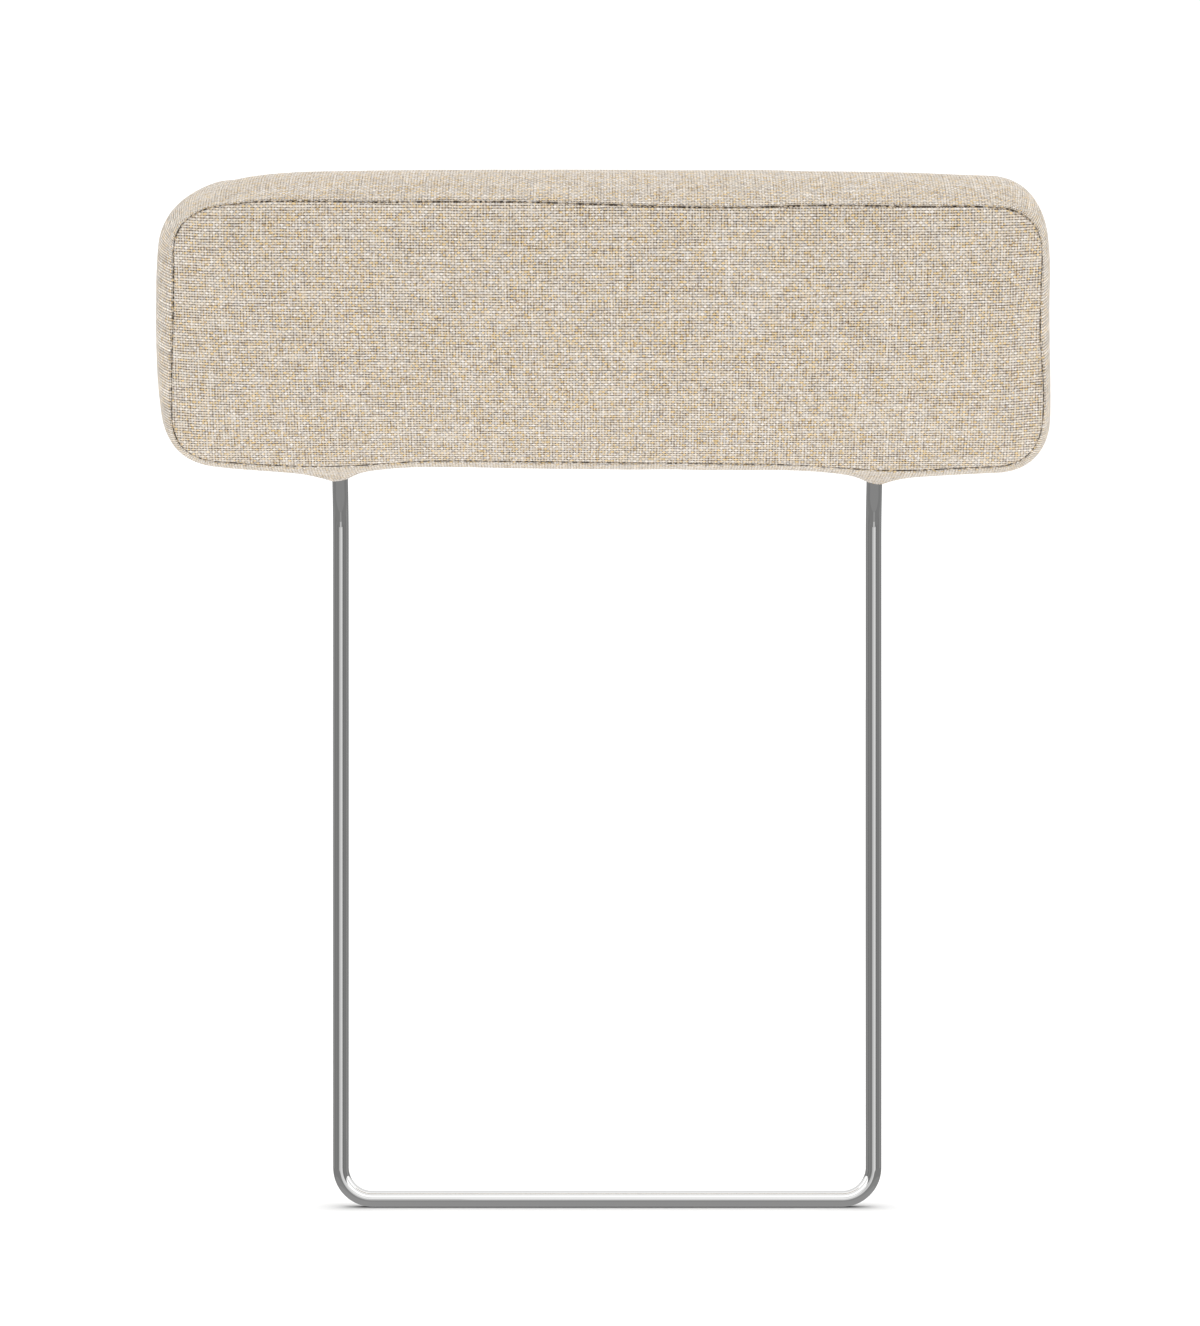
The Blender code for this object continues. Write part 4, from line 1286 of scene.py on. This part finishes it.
# The dome itself, in metres and degrees; its rows meet at the limits above
DOME_RADIUS = 60.0
DOME_CENTRE = 0.3
DOME_COLUMN = 2
DOME_ROWS = (-90, -60, -34, FLOOR_TOP, -13, LOW_TOP, -5, 0, PANEL_FOOT, *range(ROOF_FOOT, 91, 3))


def card_material(name, level):
    g = Graph(name)
    g.nodes.remove(g.shader)
    glow = g.nodes.new("ShaderNodeEmission")
    glow.inputs["Strength"].default_value = level
    g.links.new(glow.outputs[0], g.nodes["Material Output"].inputs[0])
    return g.material


def only_for_gloss(item):
    for ray in ("camera", "diffuse", "shadow", "transmission", "volume_scatter"):
        setattr(item, f"visible_{ray}", False)


def banded(bands, angle):
    for top, level in bands:
        if angle <= top:
            return level
    return bands[-1][1]


def card_level(azimuth, elevation):
    """Brightness in a direction: pale panel in front, bright roof, dim sides and floor."""
    from_panel = abs(azimuth - PANEL_MIDDLE)
    if elevation < FLOOR_TOP:
        return banded(FLOOR_BANDS, elevation)
    if elevation > ROOF_FOOT:
        ahead = math.cos(math.radians(elevation)) * math.cos(math.radians(azimuth))
        return banded(ROOF_BANDS, math.degrees(math.acos(ahead)))
    if elevation > PANEL_FOOT and from_panel < PANEL_HALF_WIDTH:
        return banded(FRONT_BANDS, elevation)
    if elevation < LOW_TOP:
        return banded(FRONT_BANDS, elevation) if from_panel < LOW_HALF_WIDTH else LOW_SIDES
    return banded(LEVEL_BANDS, azimuth)


def build_studio_dome():
    """Far dome of cards that only reflections see."""
    azimuths = np.arange(-180, 181, DOME_COLUMN)
    points = []
    for elevation in np.radians(DOME_ROWS):
        for azimuth in np.radians(azimuths):
            flat = DOME_RADIUS * math.cos(elevation)
            height = DOME_CENTRE + DOME_RADIUS * math.sin(elevation)
            points.append((flat * math.sin(azimuth), -flat * math.cos(azimuth), height))
    mesh = bpy.data.meshes.new("studio_dome")
    n = len(azimuths)
    faces, levels = [], []
    for row in range(len(DOME_ROWS) - 1):
        for column in range(n - 1):
            first = row * n + column
            faces.append((first, first + 1, first + n + 1, first + n))
            azimuth = (azimuths[column] + azimuths[column + 1]) / 2
            levels.append(card_level(azimuth, (DOME_ROWS[row] + DOME_ROWS[row + 1]) / 2))
    mesh.from_pydata(points, [], faces)
    kinds = sorted(set(levels))
    for level in kinds:
        mesh.materials.append(card_material(f"card_{level}", level))
    for polygon, level in zip(mesh.polygons, levels):
        polygon.material_index = kinds.index(level)
    item = new_object("studio_dome", mesh)
    only_for_gloss(item)


def add_lamp(name, place, size, power):
    light = bpy.data.lights.new(name, "AREA")
    light.shape = "RECTANGLE"
    light.size, light.size_y = size
    light.energy = power
    item = new_object(name, light)
    item.location = place
    item.rotation_euler = (Vector(AIM) - Vector(place)).to_track_quat("-Z", "Y").to_euler()
    item.visible_glossy = False
    item.visible_camera = False


def build_floor():
    mesh = bpy.data.meshes.new("floor")
    corners = [(FLOOR_REACH * x, FLOOR_REACH * y, 0) for x, y in ((-1, -1), (1, -1), (1, 1), (-1, 1))]
    mesh.from_pydata(corners, [], [(0, 1, 2, 3)])
    mesh.materials.append(floor_material())
    item = new_object("floor", mesh)
    item.visible_glossy = False


def build_world(settings):
    """Even light from all round, behind it a backdrop that only the camera sees."""
    world = bpy.data.worlds.new("studio")
    world.use_nodes = True
    nodes, links = world.node_tree.nodes, world.node_tree.links
    path = nodes.new("ShaderNodeLightPath")
    level = nodes.new("ShaderNodeMapRange")
    links.new(path.outputs["Is Camera Ray"], level.inputs["Value"])
    level.inputs["To Min"].default_value = settings.world
    level.inputs["To Max"].default_value = BACKDROP_SEEN
    links.new(level.outputs[0], nodes["Background"].inputs["Strength"])
    nodes["Background"].inputs["Color"].default_value = (1, 1, 1, 1)
    bpy.context.scene.world = world


def build_camera(settings):
    """Camera that looks straight ahead, as the photo's does."""
    camera = bpy.data.cameras.new("camera")
    camera.lens = settings.lens
    camera.sensor_width = 36
    camera.sensor_fit = "AUTO"
    item = new_object("camera", camera)
    item.location = (settings.camera_x, -settings.camera_distance, settings.camera_height)
    item.rotation_euler = (math.pi / 2, 0, 0)
    bpy.context.scene.camera = item


def build_stage(settings):
    build_floor()
    build_studio_dome()
    build_world(settings)
    for lamp in LAMPS:
        add_lamp(*lamp)
    view = bpy.context.scene.view_settings
    view.view_transform = "Standard"
    view.look = "None"
    build_camera(settings)


# Add-on


built = {}


class HEADREST_OT_build_cover(bpy.types.Operator):
    """Build the upholstered cover"""

    bl_idname = "headrest.build_cover"
    bl_label = "Build cover"

    def execute(self, context):
        built["cover"] = build_cover(context)
        return {"FINISHED"}


class HEADREST_OT_build_collars(bpy.types.Operator):
    """Build the cloth collars round the legs"""

    bl_idname = "headrest.build_collars"
    bl_label = "Build collars"

    def execute(self, context):
        cover_item = bpy.data.objects["headrest_cover"]
        build_collar("leg_collar_left", -1, cover_item)
        build_collar("leg_collar_right", 1, cover_item)
        return {"FINISHED"}


class HEADREST_OT_build_stitches(bpy.types.Operator):
    """Sew the thread into the seams"""

    bl_idname = "headrest.build_stitches"
    bl_label = "Build stitches"

    def execute(self, context):
        build_stitches(built["cover"], context.scene.headrest_stitches)
        return {"FINISHED"}


class HEADREST_OT_build_tube(bpy.types.Operator):
    """Build the smooth tube frame"""

    bl_idname = "headrest.build_tube"
    bl_label = "Build tube"

    def execute(self, context):
        build_tube(context.scene.headrest_tube)
        return {"FINISHED"}


class HEADREST_OT_dress_fittings(bpy.types.Operator):
    """Give the board, clips, screws and plugs their materials"""

    bl_idname = "headrest.dress_fittings"
    bl_label = "Dress fittings"

    def execute(self, context):
        dress_fittings()
        return {"FINISHED"}


class HEADREST_OT_build_stage(bpy.types.Operator):
    """Set up floor, light and camera"""

    bl_idname = "headrest.build_stage"
    bl_label = "Build stage"

    def execute(self, context):
        build_stage(context.scene.headrest_stage)
        return {"FINISHED"}


class HEADREST_PT_panel(bpy.types.Panel):
    """Builds the headrest's look"""

    bl_idname = "HEADREST_PT_panel"
    bl_label = "Headrest"
    bl_space_type = "VIEW_3D"
    bl_region_type = "UI"
    bl_category = "Headrest"

    def draw(self, context):
        layout = self.layout
        for operator, groups in STEPS:
            layout.operator(operator.bl_idname)
            for group in groups:
                settings = getattr(context.scene, group)
                box = layout.box()
                for name in settings.__annotations__:
                    box.prop(settings, name)


STEPS = (
    (HEADREST_OT_build_cover, ("headrest_cover", "headrest_cloth")),
    (HEADREST_OT_build_collars, ("headrest_collars",)),
    (HEADREST_OT_build_stitches, ("headrest_stitches",)),
    (HEADREST_OT_build_tube, ("headrest_tube",)),
    (HEADREST_OT_dress_fittings, ()),
    (HEADREST_OT_build_stage, ("headrest_stage",)),
)
GROUPS = {
    "headrest_cover": HeadrestCover,
    "headrest_collars": HeadrestCollars,
    "headrest_stitches": HeadrestStitches,
    "headrest_tube": HeadrestTube,
    "headrest_cloth": HeadrestCloth,
    "headrest_stage": HeadrestStage,
}


def classes():
    return (*GROUPS.values(), *[operator for operator, _ in STEPS], HEADREST_PT_panel)


def register():
    for cls in classes():
        bpy.utils.register_class(cls)
    for name, cls in GROUPS.items():
        setattr(bpy.types.Scene, name, bpy.props.PointerProperty(type=cls))


def unregister():
    for name in GROUPS:
        delattr(bpy.types.Scene, name)
    for cls in reversed(classes()):
        bpy.utils.unregister_class(cls)


def main():
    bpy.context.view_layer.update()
    register()
    bpy.ops.headrest.build_stage()
    bpy.ops.headrest.build_cover()
    bpy.ops.headrest.build_collars()
    bpy.ops.headrest.build_stitches()
    bpy.ops.headrest.build_tube()
    bpy.ops.headrest.dress_fittings()


if __name__ == "__main__":
    main()
